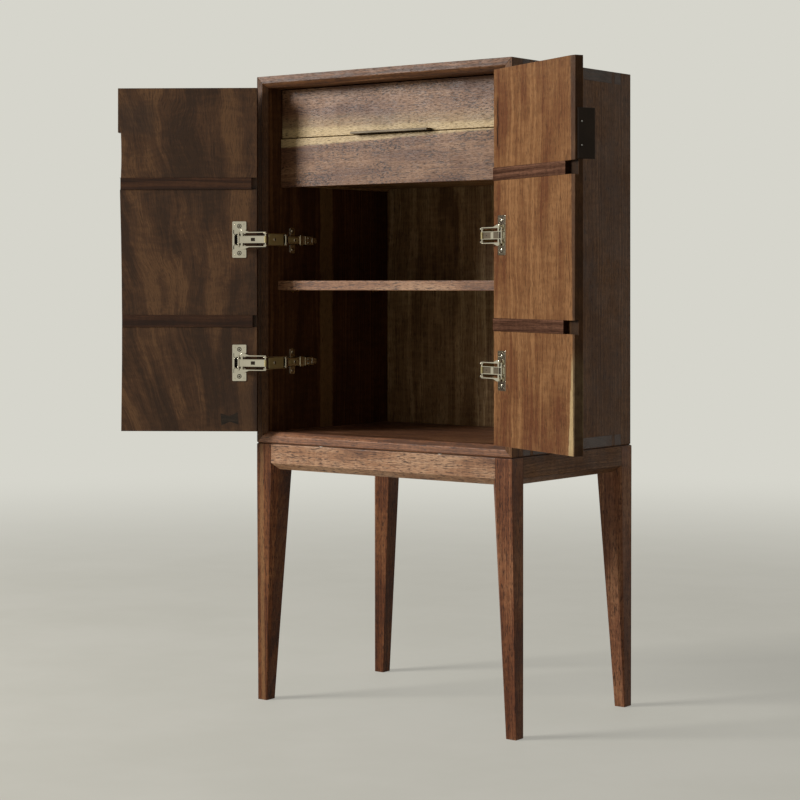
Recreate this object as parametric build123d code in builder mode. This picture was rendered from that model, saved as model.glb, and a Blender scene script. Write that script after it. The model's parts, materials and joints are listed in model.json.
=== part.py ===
from build123d import *

import os
from dataclasses import dataclass
from math import acos, atan2, cos, degrees, hypot, radians, sin

# A walnut cabinet on a four-legged stand. Two inset doors hang on knee hinges, and behind
# them are two drawers, a shelf and a plain back. The doors stand open.
# Millimetres. +Z is up and the front faces -Y. The origin is on the floor under the middle
# of the case. "Inset" is measured in from a side of the case, "depth" back from its front.

# Case: four boards, mitred at the front edge and pinned through the sides behind it
case_width = 600.0
case_depth = 400.0
case_height = 709.0
board = 22.0
front_bevel = 8.4  # bevel round the inside of the front opening
pin_margin = 35.0  # plain wood before the first through pin and after the last
narrow_pin = 23.0
pin_slot = 9.0  # side wood between two pins
back_thickness = 10.0
back_inset = 6.0  # from the rear edge of the case to the back panel
back_groove = 6.0  # depth of the groove that holds the back panel
arris = 2.2  # small bevels where the case meets the stand

# Stand
stand_height = 499.0
stand_rear_proud = 4.0  # flush with the case at the front and deeper behind it
apron_height = 50.0
apron_thickness = 20.0
stand_bevel = 12.0  # bevel along the aprons and down the legs
leg_flat = 36.0  # outer face of a leg at the top, beside its bevel
foot_width = 22.0
foot_length = 24.0
foot_bevel = 1.0
leg_setback = 7.5  # how far the front and rear faces lean in towards the foot
leg_splay = 3.5  # how far the side faces lean out towards the foot
tenon_length = 16.0
tenon_thickness = 8.0
tenon_margin = 8.0  # above and below a tenon
fastener_radius = 9.0  # each half of a figure-eight plate
fastener_thickness = 2.0
fastener_overlap = 3.0  # of the two halves
fastener_spread = 140.0  # from the middle of an apron to a figure-eight plate

# Doors
door_gap = 2.0  # round each door
door_thickness = 18.0
left_meeting = 6.9  # from the middle of the case to the left door's free edge
right_meeting = 4.4
left_opening_angle = 144.5
right_opening_angle = 154.0
axis_offset = 8.6  # hinge axis from the hinge edge, and in front of the outer face
batten_height = 22.5
batten_depth = 9.0  # let into the door
batten_proud = 1.3
batten_flare = 1.5  # dovetail, at the top and at the bottom of the section
lower_batten = 201.0  # bottom of a batten above the bottom of the door
upper_batten = 465.5
left_batten_starts = (8.3, 10.5)  # from the hinge edge, lower and upper
left_batten_ends = (8.2, 5.0)  # from the free edge, lower and upper
right_batten_start = -1.5
right_batten_ends = (31.6, 25.6)
edge_drift_foot = 6.3  # how far the left door's natural edge falls back at the bottom
edge_drift_low = 7.8  # the same where it falls back most
edge_low_rise = 220.0  # that place above the bottom of the door
edge_drift_high = 3.1  # the same just under the finger notch
notch_depth = 5.6
notch_hollow = 1.0
notch_low_gap = 0.5  # above the upper batten
notch_high_gap = 1.0  # above the pull plate's level
wane_width = 13.0  # natural edge on the inner arris of the right door, at the top
wane_depth = 3.0
wane_foot_width = 3.6
wane_foot_depth = 1.0
key_length = 33.0
key_end = 23.0  # width of the butterfly key's ends
key_waist = 11.0
key_depth = 6.0
key_tilt = -4.0
key_inset = 53.0  # centre of the key from the hinge edge
key_rise = 24.0  # centre of the key above the bottom of the door

# Pull plate on the right door's free edge
plate_height = 84.5
plate_rise = 490.0  # above the bottom of the door
plate_thickness = 3.0
plate_lap = 11.5  # on the edge of the door
plate_proud = 21.0  # in front of the door
plate_screw_margin = 22.5
plate_screw_depth = 4.5  # behind the outer face of the door

# Knee hinges: a cup in the door, a link, a lever, and an arm on the side of the case
hinge_rises = (132.0, 369.0)  # centres above the bottom of the door
left_cup_setback = 34.0
right_cup_setback = 29.5
cup_radius = 13.0
cup_depth = 11.0
cup_wall = 1.0
flange_width = 27.0
flange_height = 70.0
flange_thickness = 1.2
flange_neck = 36.0  # height between the flange's wings
flange_neck_width = 24.5
cup_screw_spread = 26.0
cup_pivot_inset = 35.0  # from the hinge edge
cup_pivot_proud = 4.0  # above the inner face of the door
cup_ear_inner = 7.5  # half heights of the cup's ears
cup_ear_outer = 9.0
cup_ear_radius = 3.0
cup_ear_slack = 1.0  # round the eye of the link
cup_cover_gap = 0.5  # from the ears to the raised cover
cup_pin_radius = 1.5
link_length = 55.0
link_thickness = 4.0
link_half_height = 7.0
link_eye_radius = 2.5
link_arm_inner = 13.3  # half heights of the link's outer arms
link_arm_outer = 14.5
link_bridge = (6.0, 10.0)  # start and end of the web that carries the outer arms
lever_length = 64.0
lever_radius = 4.5
lever_inner = 10.3  # half heights of the lever's side plates
lever_outer = 12.5
lever_web = (12.5, 52.0)  # start and end of the lever's web
lever_web_thickness = 1.5
arm_pivot_inset = 23.0  # from the inner face of the side
arm_pivot_depth = 6.6  # behind the doors
arm_pin_radius = 2.0
arm_half_height = 9.0
arm_wall = 1.5
arm_length = 85.0
arm_top_gap = 1.0  # from the pivot's height down to the top of the arm
plate_base_thickness = 2.0
plate_base_length = 92.0
plate_base_start = 11.5  # from the lever's pivot back to the base and to the foot of the arm
wing_height = 50.0
wing_width = 15.0
wing_offset = 45.0  # from the pivot back to the wings' screws
wing_screw_spread = 18.0
running_fit = 0.05

# Drawers
drawer_depth = 47.0  # from the case's front to a closed drawer
lower_drawer_ajar = 4.0
drawer_gap = 2.0  # above, between and below the drawers
drawer_side_gap = 2.2
drawer_height = 93.6
drawer_front = 18.0
drawer_side = 14.0
drawer_back = 12.0
drawer_bottom = 6.0
drawer_rear_gap = 12.0  # behind a closed drawer
drawer_box_drop = 3.0  # sides lower than the front, above and below
bottom_rise = 8.0  # of the drawer bottom in its grooves
bottom_groove = 5.0
runner_height = 16.0
runner_grip = 6.3  # how far a runner reaches into its groove
runner_slack = 0.3
runner_setback = 10.0  # behind the drawer's front
groove_slack = 0.7
pull_length = 180.0
pull_thickness = 4.0
pull_proud = 19.0
pull_let_in = 12.0
pull_screw_spread = 60.0

# Shelf
shelf_rise = 295.5  # its underside above the stand
shelf_round = 1.2
shelf_thickness = 18.5
shelf_setback = 37.0
shelf_side_gap = 0.4
shelf_rear_gap = 4.0
shelf_pin_radius = 2.5
shelf_pin_hole = 8.0
shelf_pin_tab = 12.0
shelf_pin_tab_width = 10.0
shelf_pin_tab_thickness = 2.5
shelf_pin_seat = 0.3
shelf_pin_inset = 45.0  # from the shelf's front and rear edges

# Worked-out sizes and levels
half_width = case_width / 2
half_depth = case_depth / 2
stand_depth = case_depth + stand_rear_proud
case_bottom = stand_height
inner_bottom = case_bottom + board
case_top = case_bottom + case_height
inner_top = case_top - board
inner_height = inner_top - inner_bottom
back_front = case_depth - back_inset - back_thickness
leg_size = leg_flat + stand_bevel
apron_bottom = stand_height - apron_height
door_bottom = inner_bottom + door_gap
door_height = inner_height - 2 * door_gap
door_setback = front_bevel
hinge_edge = board + door_gap
door_back = door_setback + door_thickness
upper_drawer_bottom = inner_top - drawer_gap - drawer_height
lower_drawer_bottom = upper_drawer_bottom - drawer_gap - drawer_height
drawer_width = case_width - 2 * (board + drawer_side_gap)
drawer_length = back_front - drawer_rear_gap - drawer_depth
shelf_bottom = stand_height + shelf_rise
shelf_rear = back_front - shelf_rear_gap

front_plane = Plane.XZ.offset(half_depth)


@dataclass(frozen=True)
class Screw:
    """A pan-headed screw."""

    head_radius: float
    head_height: float
    shank_radius: float
    length: float


cup_screw = Screw(3.2, 1.0, 1.5, 12.0)
wing_screw = Screw(3.2, 1.0, 1.5, 14.0)
pull_screw = Screw(2.6, 1.6, 1.4, 14.0)
plate_screw = Screw(2.7, 1.1, 1.5, 15.0)
stand_screw = Screw(3.4, 1.2, 1.8, 15.0)


def turned(plane, x, y, angle=0.0):
    """The plane carried to its own point x, y and turned there about its normal."""
    return Plane(plane.location * Location((x, y, 0), (0, 0, angle)))


def case_plan(sense, height):
    """Level plane at a front corner of the case: x is the inset, y the depth.

    The sense is +1 on the left and -1 on the right, and an extrusion times it goes up.
    """
    return Plane(origin=(-sense * half_width, -half_depth, height), x_dir=(sense, 0, 0), z_dir=(0, 0, sense))


def case_side(inset, sense):
    """Upright plane along the case: x is the depth, y the height, sense times the normal inwards."""
    return Plane(origin=(sense * (inset - half_width), -half_depth, 0), x_dir=(0, 1, 0), z_dir=(1, 0, 0))


@dataclass(frozen=True)
class Leaf:
    """A door, standing open, with the planes that its pieces are drawn on."""

    name: str
    sense: int
    opening_angle: float
    meeting: float
    cup_setback: float

    @property
    def width(self):
        """From the hinge edge to the free edge."""
        return half_width - hinge_edge - self.meeting

    def plan(self, height):
        """Level plane: x from the hinge edge, y from the outer face towards the inner one."""
        corner = case_plan(self.sense, height)
        swung = turned(corner, hinge_edge - axis_offset, door_setback - axis_offset, -self.opening_angle)
        return turned(swung, axis_offset, axis_offset)

    def face(self, depth):
        """Upright plane behind the outer face: x from the hinge edge, y the height."""
        level = self.plan(0)
        origin = level.from_local_coords((0, depth, 0))
        return Plane(origin=origin, x_dir=level.x_dir, z_dir=level.x_dir.cross(Vector(0, 0, 1)))

    def end(self, distance):
        """Upright plane across the door: x from its outer face, y the height."""
        level = self.plan(0)
        origin = level.from_local_coords((distance, 0, 0))
        return Plane(origin=origin, x_dir=level.y_dir, z_dir=level.y_dir.cross(Vector(0, 0, 1)))


left_leaf = Leaf("left", 1, left_opening_angle, left_meeting, left_cup_setback)
right_leaf = Leaf("right", -1, right_opening_angle, right_meeting, right_cup_setback)
leaves = (left_leaf, right_leaf)


def save(builder, label):
    """Label a finished piece and write it to its own file."""
    builder.part.label = label
    export_step(builder.part, f"parts/{label}.step")


def add_screws(plane, places, screw, into):
    """Screws with their heads on a plane, driven towards the side that the sign names."""
    with BuildSketch(plane) as heads:
        with Locations(*places):
            Circle(screw.head_radius)
    extrude(heads.sketch, amount=-into * screw.head_height)
    with BuildSketch(plane) as shanks:
        with Locations(*places):
            Circle(screw.shank_radius)
    extrude(shanks.sketch, amount=into * screw.length)


def drill(plane, places, radius, amount):
    """Round holes from a plane."""
    with BuildSketch(plane) as holes:
        with Locations(*places):
            Circle(radius)
    extrude(holes.sketch, amount=amount, mode=Mode.SUBTRACT)


def cut_foot_arrises():
    """Small bevel round the lower edge of the case."""
    corners = [(arris, 0), (0, 0), (0, arris)]
    for plane, reach, run in ((Plane.XZ, half_width, half_depth), (Plane.YZ, half_depth, half_width)):
        for sense in (1, -1):
            with BuildSketch(plane) as corner:
                with BuildLine():
                    Polyline([(sense * (x - reach), case_bottom + z) for x, z in corners], close=True)
                make_face()
            extrude(corner.sketch, amount=run, both=True, mode=Mode.SUBTRACT)


# Case


def pin_spans():
    """Start and end of each through pin, back from the front of the case."""
    first = pin_margin
    last = case_depth - pin_margin
    return [
        (first, first + narrow_pin),
        (first + narrow_pin + pin_slot, last - narrow_pin - pin_slot),
        (last - narrow_pin, last),
    ]


def tail_spans():
    """Start and end of the side wood before, between and after the pins."""
    ends = [board] + [end for span in pin_spans() for end in span] + [case_depth]
    return list(zip(ends[::2], ends[1::2]))


def end_board(label, inner, outer):
    """The top or the bottom of the case, from its inner level to its outer one."""
    low = min(inner, outer)
    toward_outer = 1 if outer > inner else -1
    with BuildPart() as end:
        with BuildSketch(front_plane):
            with BuildLine():
                Polyline(
                    (-half_width, outer),
                    (half_width, outer),
                    (half_width - board, inner),
                    (board - half_width, inner),
                    close=True,
                )
            make_face()
        extrude(amount=-board)
        with BuildSketch(Plane.XY.offset(low)):
            with Locations((0, board / 2)):
                Rectangle(case_width - 2 * board, case_depth - board)
            for start, stop in pin_spans():
                with Locations((0, (start + stop) / 2 - half_depth)):
                    Rectangle(case_width, stop - start)
        extrude(amount=board)
        with BuildSketch(Plane.YZ):
            with BuildLine():
                Polyline(
                    (-half_depth, inner),
                    (-half_depth, inner + toward_outer * front_bevel),
                    (front_bevel - half_depth, inner),
                    close=True,
                )
            make_face()
        extrude(amount=half_width, both=True, mode=Mode.SUBTRACT)
        with BuildSketch(Plane.XY.offset(inner)):
            with Locations((0, back_front + back_thickness / 2 - half_depth)):
                Rectangle(case_width - 2 * board, back_thickness)
        extrude(amount=toward_outer * back_groove, mode=Mode.SUBTRACT)
        if toward_outer < 0:
            cut_foot_arrises()
            for plane, places in fastener_places():
                drill(plane, places[1:], stand_screw.shank_radius + running_fit, stand_screw.length)
    save(end, label)


def side_board(leaf):
    """A side of the case, with its hinge and shelf holes."""
    sense = leaf.sense
    outer_face = case_side(0, sense)
    inner_face = case_side(board, sense)
    with BuildPart() as side:
        with BuildSketch(front_plane):
            with BuildLine():
                Polyline(
                    (-sense * half_width, case_bottom),
                    (-sense * half_width, case_top),
                    (sense * (board - half_width), inner_top),
                    (sense * (board - half_width), inner_bottom),
                    close=True,
                )
            make_face()
        extrude(amount=-board)
        with BuildSketch(outer_face):
            with Locations(((case_depth + board) / 2, (inner_bottom + inner_top) / 2)):
                Rectangle(case_depth - board, inner_height)
            for start, stop in tail_spans():
                with Locations(((start + stop) / 2, case_bottom + case_height / 2)):
                    Rectangle(stop - start, case_height)
        extrude(amount=sense * board)
        with BuildSketch(case_plan(sense, case_bottom)):
            with BuildLine():
                Polyline((board, 0), (board - front_bevel, 0), (board, front_bevel), close=True)
            make_face()
        extrude(amount=sense * case_height, mode=Mode.SUBTRACT)
        with BuildSketch(inner_face):
            with Locations((back_front + back_thickness / 2, (inner_bottom + inner_top) / 2)):
                Rectangle(back_thickness, inner_height + 2 * back_groove)
        extrude(amount=-sense * back_groove, mode=Mode.SUBTRACT)
        cut_foot_arrises()
        drill(inner_face, shelf_pin_places(), shelf_pin_radius + running_fit, -sense * shelf_pin_hole)
        screw_hole = wing_screw.shank_radius + running_fit
        drill(inner_face, wing_screw_places(), screw_hole, -sense * wing_screw.length)
    save(side, f"{leaf.name}_side_panel")


def back_panel():
    """The back, held in grooves all round."""
    with BuildPart() as back:
        with BuildSketch(Plane.XZ.offset(half_depth - back_front)):
            with Locations((0, (inner_bottom + inner_top) / 2)):
                Rectangle(case_width - 2 * (board - back_groove), inner_height + 2 * back_groove)
        extrude(amount=-back_thickness)
    save(back, "back_panel")


# Shelf


def shelf_pin_places():
    """Depth and height of the shelf pins on a side."""
    height = shelf_bottom - shelf_pin_seat - shelf_pin_radius
    depths = (shelf_setback + shelf_pin_inset, shelf_rear - shelf_pin_inset)
    return [(depth, height) for depth in depths]


def shelf():
    """The loose shelf."""
    with BuildPart() as plank:
        with BuildSketch(Plane.XY.offset(shelf_bottom)):
            with Locations((0, (shelf_setback + shelf_rear) / 2 - half_depth)):
                Rectangle(case_width - 2 * (board + shelf_side_gap), shelf_rear - shelf_setback)
        extrude(amount=shelf_thickness)
        front_edges = plank.edges().filter_by(Axis.X).group_by(Axis.Y)[0]
        fillet(front_edges, radius=shelf_round)
    save(plank, "shelf")


def shelf_pins():
    """Four pins in the sides, each with a flat tab under the shelf."""
    with BuildPart() as pins:
        for leaf in leaves:
            inner_face = case_side(board, leaf.sense)
            with BuildSketch(inner_face):
                with Locations(*shelf_pin_places()):
                    Circle(shelf_pin_radius)
            extrude(amount=-leaf.sense * shelf_pin_hole)
            with BuildSketch(inner_face):
                for depth, height in shelf_pin_places():
                    with Locations((depth, height + shelf_pin_radius - shelf_pin_tab_thickness / 2)):
                        Rectangle(shelf_pin_tab_width, shelf_pin_tab_thickness)
            extrude(amount=leaf.sense * shelf_pin_tab)
    save(pins, "shelf_pins")


# Stand


def stand_corner(side, end):
    """Level plane at an outer corner of the stand, x and y inwards, on the floor.

    The side is -1 on the left and the end -1 at the front. The second value is the sign of an
    upward extrusion.
    """
    corner_y = -half_depth if end < 0 else stand_depth - half_depth
    up = side * end
    plane = Plane(origin=(side * half_width, corner_y, 0), x_dir=(-side, 0, 0), z_dir=(0, 0, up))
    return plane, up


def leg_outline(size_x, size_y, bevel):
    """Section of a leg: a rectangle with its two outer-to-inner arrises bevelled."""
    return [
        (0, 0),
        (size_x - bevel, 0),
        (size_x, bevel),
        (size_x, size_y),
        (bevel, size_y),
        (0, size_y - bevel),
    ]


def tenon_spans():
    """Bottom level and height of the apron tenons."""
    return apron_bottom + tenon_margin + stand_bevel, apron_height - 2 * tenon_margin - stand_bevel


def leg(label, side, end):
    """A tapered leg: foot, bevelled shoulder and square head with two mortises."""
    floor, up = stand_corner(side, end)
    tenon_bottom, tenon_height = tenon_spans()
    with BuildPart() as post:
        with BuildSketch(floor.offset(up * apron_bottom)):
            with BuildLine():
                Polyline(leg_outline(leg_size, leg_size, stand_bevel), close=True)
            make_face()
        extrude(amount=up * stand_bevel)
        for run in (Vector(-side, 0, 0), Vector(0, -end, 0)):
            corner = floor.from_local_coords((leg_size, leg_size, up * apron_bottom))
            split(bisect_by=Plane(origin=corner, z_dir=run + Vector(0, 0, 1)), keep=Keep.BOTTOM)
        with BuildSketch(floor.offset(up * (apron_bottom + stand_bevel))):
            Rectangle(leg_flat, leg_flat, align=Align.MIN)
        extrude(amount=up * (apron_height - stand_bevel))
        with BuildSketch(floor.offset(up * apron_bottom)):
            with BuildLine():
                Polyline(leg_outline(leg_size, leg_size, stand_bevel), close=True)
            make_face()
        with BuildSketch(turned(floor, -leg_splay, leg_setback)):
            with BuildLine():
                Polyline(leg_outline(foot_width, foot_length, foot_bevel), close=True)
            make_face()
        loft(ruled=True)
        mortise_middle = apron_thickness / 2
        mortise_centre = leg_flat - tenon_length / 2
        with BuildSketch(floor.offset(up * tenon_bottom)):
            with Locations((mortise_centre, mortise_middle)):
                Rectangle(tenon_length, tenon_thickness)
            with Locations((mortise_middle, mortise_centre)):
                Rectangle(tenon_thickness, tenon_length)
        extrude(amount=up * tenon_height, mode=Mode.SUBTRACT)
        outer_top = post.edges().group_by(Axis.Z)[-1]
        outer_top = [e for e in outer_top if on_stand_face(e.center(), side, end)]
        chamfer(outer_top, length=arris)
    save(post, label)


def on_stand_face(point, side, end):
    """Whether a point lies on an outer face of the stand at this corner."""
    corner_y = -half_depth if end < 0 else stand_depth - half_depth
    return abs(point.X - side * half_width) < arris / 2 or abs(point.Y - corner_y) < arris / 2


def apron(label, plane, length):
    """A rail between two legs, drawn on its outer face with x along it.

    The plane's normal points out of the stand.
    """
    half_clear = length / 2 - leg_flat
    tenon_bottom, tenon_height = tenon_spans()
    with BuildPart() as rail:
        with BuildSketch(plane):
            with BuildLine():
                Polyline(
                    (-half_clear, stand_height),
                    (half_clear, stand_height),
                    (half_clear, apron_bottom + stand_bevel),
                    (half_clear - stand_bevel, apron_bottom),
                    (stand_bevel - half_clear, apron_bottom),
                    (-half_clear, apron_bottom + stand_bevel),
                    close=True,
                )
            make_face()
        extrude(amount=-apron_thickness)
        section = Plane(origin=plane.origin, x_dir=-plane.z_dir, z_dir=-plane.z_dir.cross(Vector(0, 0, 1)))
        with BuildSketch(section):
            with BuildLine():
                Polyline(
                    (0, apron_bottom),
                    (0, apron_bottom + stand_bevel),
                    (stand_bevel, apron_bottom),
                    close=True,
                )
            make_face()
            with BuildLine():
                Polyline((0, stand_height), (0, stand_height - arris), (arris, stand_height), close=True)
            make_face()
        extrude(amount=length / 2, both=True, mode=Mode.SUBTRACT)
        with BuildSketch(plane.offset(-(apron_thickness - tenon_thickness) / 2)):
            for way in (1, -1):
                with Locations((way * (half_clear + tenon_length / 2), tenon_bottom + tenon_height / 2)):
                    Rectangle(tenon_length, tenon_height)
        extrude(amount=-tenon_thickness)
        for level, places in fastener_places():
            drill(level, places, fastener_radius + running_fit, -fastener_thickness)
            hole_depth = stand_screw.length + fastener_thickness
            drill(level, places[:1], stand_screw.shank_radius + running_fit, -hole_depth)
    save(rail, label)


def fastener_places():
    """For each figure-eight plate: its top plane, and its apron screw and case screw."""
    front_middle = apron_thickness / 2 - half_depth
    rear_middle = stand_depth - half_depth - apron_thickness / 2
    level = Plane.XY.offset(stand_height)
    reach = 2 * fastener_radius - fastener_overlap
    places = []
    for x in (-fastener_spread, fastener_spread):
        places.append((level, [(x, front_middle), (x, front_middle + reach)]))
        places.append((level, [(x, rear_middle), (x, rear_middle - reach)]))
    return places


def stand_fasteners():
    """Figure-eight plates, each with a screw down into the apron and one up into the case."""
    with BuildPart() as fasteners:
        for level, places in fastener_places():
            with BuildSketch(level):
                with Locations(*places):
                    Circle(fastener_radius)
                with Locations(*places):
                    Circle(stand_screw.shank_radius + running_fit, mode=Mode.SUBTRACT)
            extrude(amount=-fastener_thickness)
            add_screws(level.offset(-fastener_thickness), places[1:], stand_screw, 1)
            with BuildSketch(level):
                with Locations(*places[:1]):
                    Circle(stand_screw.shank_radius)
            extrude(amount=-fastener_thickness - stand_screw.length)
    save(fasteners, "stand_fasteners")


# Doors


def door_outline(leaf):
    """Outline of a door in its own face, with the left door's natural edge and finger notch."""
    width = leaf.width
    top = door_bottom + door_height
    if leaf is right_leaf:
        Polyline((0, door_bottom), (width, door_bottom), (width, top), (0, top), close=True)
        return
    notch_low = door_bottom + upper_batten + batten_height + notch_low_gap
    notch_high = door_bottom + plate_rise + plate_height + notch_high_gap
    notch_middle = (notch_low + notch_high) / 2
    inner = width - notch_depth
    foot = Line((0, door_bottom), (width - edge_drift_foot, door_bottom))
    natural = Spline(
        foot @ 1,
        (width - edge_drift_low, door_bottom + edge_low_rise),
        (width - edge_drift_high, notch_low),
    )
    lip = Line(natural @ 1, (inner, notch_low))
    scoop = ThreePointArc(lip @ 1, (inner - notch_hollow, notch_middle), (inner, notch_high))
    head = Line(scoop @ 1, (width, notch_high))
    Polyline(head @ 1, (width, top), (0, top), foot @ 0)


def batten_section(rise):
    """Dovetailed section of a batten or its groove, in a door's end plane."""
    low = door_bottom + rise
    high = low + batten_height
    Polyline(
        (door_thickness, low),
        (door_thickness, high),
        (door_thickness - batten_depth, high + batten_flare),
        (door_thickness - batten_depth, low - batten_flare),
        close=True,
    )


def key_outline(leaf):
    """Butterfly outline about the key's own centre."""
    half = key_length / 2
    with Locations(Location((key_inset, door_bottom + key_rise), key_tilt * leaf.sense)):
        Polygon(
            (-half, -key_end / 2),
            (0, -key_waist / 2),
            (half, -key_end / 2),
            (half, key_end / 2),
            (0, key_waist / 2),
            (-half, key_end / 2),
            align=None,
        )


def wane_section(leaf, height, width, depth):
    """Triangle cut from the inner free arris of a door at one height."""
    with BuildSketch(leaf.plan(height)) as section:
        with BuildLine():
            Polyline(
                (leaf.width - width, door_thickness),
                (leaf.width, door_thickness - depth),
                (leaf.width, door_thickness),
                close=True,
            )
        make_face()
    return section.sketch


def door_panel(leaf):
    """The board of a door, cut for everything that is let into it."""
    inner_face = leaf.face(door_thickness)
    with BuildPart() as panel:
        with BuildSketch(leaf.face(0)):
            with BuildLine():
                door_outline(leaf)
            make_face()
        extrude(amount=-leaf.sense * door_thickness)
        for rise in (lower_batten, upper_batten):
            with BuildSketch(leaf.end(0)):
                with BuildLine():
                    batten_section(rise)
                make_face()
            extrude(amount=leaf.sense * leaf.width, mode=Mode.SUBTRACT)
        drill(inner_face, cup_places(leaf), cup_radius, leaf.sense * cup_depth)
        screw_hole = cup_screw.shank_radius + running_fit
        drill(inner_face, cup_screw_places(leaf), screw_hole, leaf.sense * cup_screw.length)
        if leaf is left_leaf:
            with BuildSketch(inner_face):
                key_outline(leaf)
            extrude(amount=leaf.sense * key_depth, mode=Mode.SUBTRACT)
        else:
            foot = wane_section(leaf, door_bottom, wane_foot_width, wane_foot_depth)
            head = wane_section(leaf, door_bottom + door_height, wane_width, wane_depth)
            loft([foot, head], ruled=True, mode=Mode.SUBTRACT)
            edge = leaf.end(leaf.width)
            screw_hole = plate_screw.shank_radius + running_fit
            drill(edge, plate_screw_places(), screw_hole, -leaf.sense * plate_screw.length)
    save(panel, f"{leaf.name}_door_panel")


def batten(leaf, level, rise, start, stop):
    """A dovetailed batten let across the inner face of a door."""
    with BuildPart() as bar:
        with BuildSketch(leaf.end(start)):
            with BuildLine():
                batten_section(rise)
            make_face()
            with Locations((door_thickness + batten_proud / 2, door_bottom + rise + batten_height / 2)):
                Rectangle(batten_proud, batten_height)
        extrude(amount=leaf.sense * (stop - start))
    save(bar, f"{leaf.name}_{level}_batten")


def butterfly_key():
    """The key let into the left door across a crack at its foot."""
    with BuildPart() as key:
        with BuildSketch(left_leaf.face(door_thickness)):
            key_outline(left_leaf)
        extrude(amount=left_leaf.sense * key_depth)
    save(key, "butterfly_key")


def plate_screw_places():
    """Depth and height of the pull plate's screws."""
    low = door_bottom + plate_rise
    heights = (low + plate_screw_margin, low + plate_height - plate_screw_margin)
    return [(plate_screw_depth, height) for height in heights]


def pull_plate():
    """The steel plate on the free edge of the right door."""
    leaf = right_leaf
    outer = leaf.end(leaf.width + plate_thickness)
    with BuildPart() as plate:
        with BuildSketch(leaf.end(leaf.width)):
            with Locations(((plate_lap - plate_proud) / 2, door_bottom + plate_rise + plate_height / 2)):
                Rectangle(plate_lap + plate_proud, plate_height)
        extrude(amount=leaf.sense * plate_thickness)
        screw_hole = plate_screw.shank_radius + running_fit
        drill(outer, plate_screw_places(), screw_hole, -leaf.sense * plate_thickness)
    save(plate, "pull_plate")
    with BuildPart() as screws:
        add_screws(outer, plate_screw_places(), plate_screw, -leaf.sense)
    save(screws, "pull_plate_screws")


# Hinges


def hinge_heights():
    """Centre heights of the two hinges of a door."""
    return [door_bottom + rise for rise in hinge_rises]


def cup_places(leaf):
    """Centres of the hinge cups in a door's face."""
    return [(leaf.cup_setback, height) for height in hinge_heights()]


def cup_screw_places(leaf):
    """Screws above and below each hinge cup."""
    return [(x, y + way * cup_screw_spread) for x, y in cup_places(leaf) for way in (-1, 1)]


def wing_screw_places():
    """Depth and height of the screws of the hinge arms' wings."""
    depth = door_back + arm_pivot_depth + wing_offset
    return [(depth, height + way * wing_screw_spread) for height in hinge_heights() for way in (-1, 1)]


def linkage(leaf):
    """Angles of the lever on the case and of the link on the door, where the knee is closed."""
    swing = radians(-leaf.opening_angle)
    reach_x = axis_offset + cup_pivot_inset
    reach_y = axis_offset + door_thickness + cup_pivot_proud
    cup_x = hinge_edge - axis_offset + reach_x * cos(swing) - reach_y * sin(swing)
    cup_y = door_setback - axis_offset + reach_x * sin(swing) + reach_y * cos(swing)
    arm_x = board + arm_pivot_inset
    arm_y = door_back + arm_pivot_depth
    span = hypot(cup_x - arm_x, cup_y - arm_y)
    spread = acos((lever_length**2 + span**2 - link_length**2) / (2 * lever_length * span))
    lever_angle = atan2(cup_y - arm_y, cup_x - arm_x) + spread
    knee_x = arm_x + lever_length * cos(lever_angle)
    knee_y = arm_y + lever_length * sin(lever_angle)
    link_angle = degrees(atan2(knee_y - cup_y, knee_x - cup_x)) + leaf.opening_angle
    return degrees(lever_angle), link_angle


def disc(plane, radius, half_height, mode=Mode.ADD):
    """A round eye, pin or hole about the middle of a plane."""
    with BuildSketch(plane) as circle:
        Circle(radius)
    extrude(circle.sketch, amount=half_height, both=True, mode=mode)


def ear_outline(radius, foot):
    """Upright tab with a round head about the pivot, and its foot in the cup."""
    Circle(radius)
    with Locations((0, -foot / 2)):
        Rectangle(2 * radius, foot)


def hinge_cup(leaf, level, height):
    """Cup, flange, ears and pin on the door."""
    face = leaf.face(door_thickness)
    flange_top = face.offset(-leaf.sense * flange_thickness)
    pivot = turned(leaf.plan(height), cup_pivot_inset, door_thickness + cup_pivot_proud)
    wing_height_each = (flange_height - flange_neck) / 2
    centre = (leaf.cup_setback, height)
    rear = leaf.cup_setback + flange_width / 2
    cover_start = cup_pivot_inset + cup_ear_radius + cup_cover_gap
    ear_foot = cup_pivot_proud + cup_depth - cup_wall
    with BuildPart() as cup:
        with BuildSketch(face):
            with Locations(centre):
                Circle(cup_radius)
        extrude(amount=leaf.sense * cup_depth)
        with BuildSketch(face):
            with Locations(centre):
                Rectangle(flange_neck_width, flange_height)
            for way in (-1, 1):
                with Locations((leaf.cup_setback, height + way * (flange_height - wing_height_each) / 2)):
                    Rectangle(flange_width, wing_height_each)
        extrude(amount=-leaf.sense * flange_thickness)
        hollow = flange_thickness + cup_depth - cup_wall
        drill(flange_top, [centre], cup_radius - cup_wall, leaf.sense * hollow)
        screws = [(leaf.cup_setback, height + way * cup_screw_spread) for way in (-1, 1)]
        drill(flange_top, screws, cup_screw.shank_radius + running_fit, leaf.sense * flange_thickness)
        with BuildSketch(flange_top):
            with Locations(((cover_start + rear) / 2, height)):
                Rectangle(rear - cover_start, 2 * cup_ear_outer)
        extrude(amount=-leaf.sense * flange_thickness)
        with BuildSketch(pivot):
            ear_outline(cup_ear_radius, ear_foot)
        extrude(amount=cup_ear_outer, both=True)
        with BuildSketch(pivot):
            ear_outline(cup_ear_radius + cup_ear_slack, ear_foot)
        extrude(amount=cup_ear_inner, both=True, mode=Mode.SUBTRACT)
        disc(pivot, cup_pin_radius, link_arm_outer)
    save(cup, f"{leaf.name}_{level}_hinge_cup")


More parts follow.
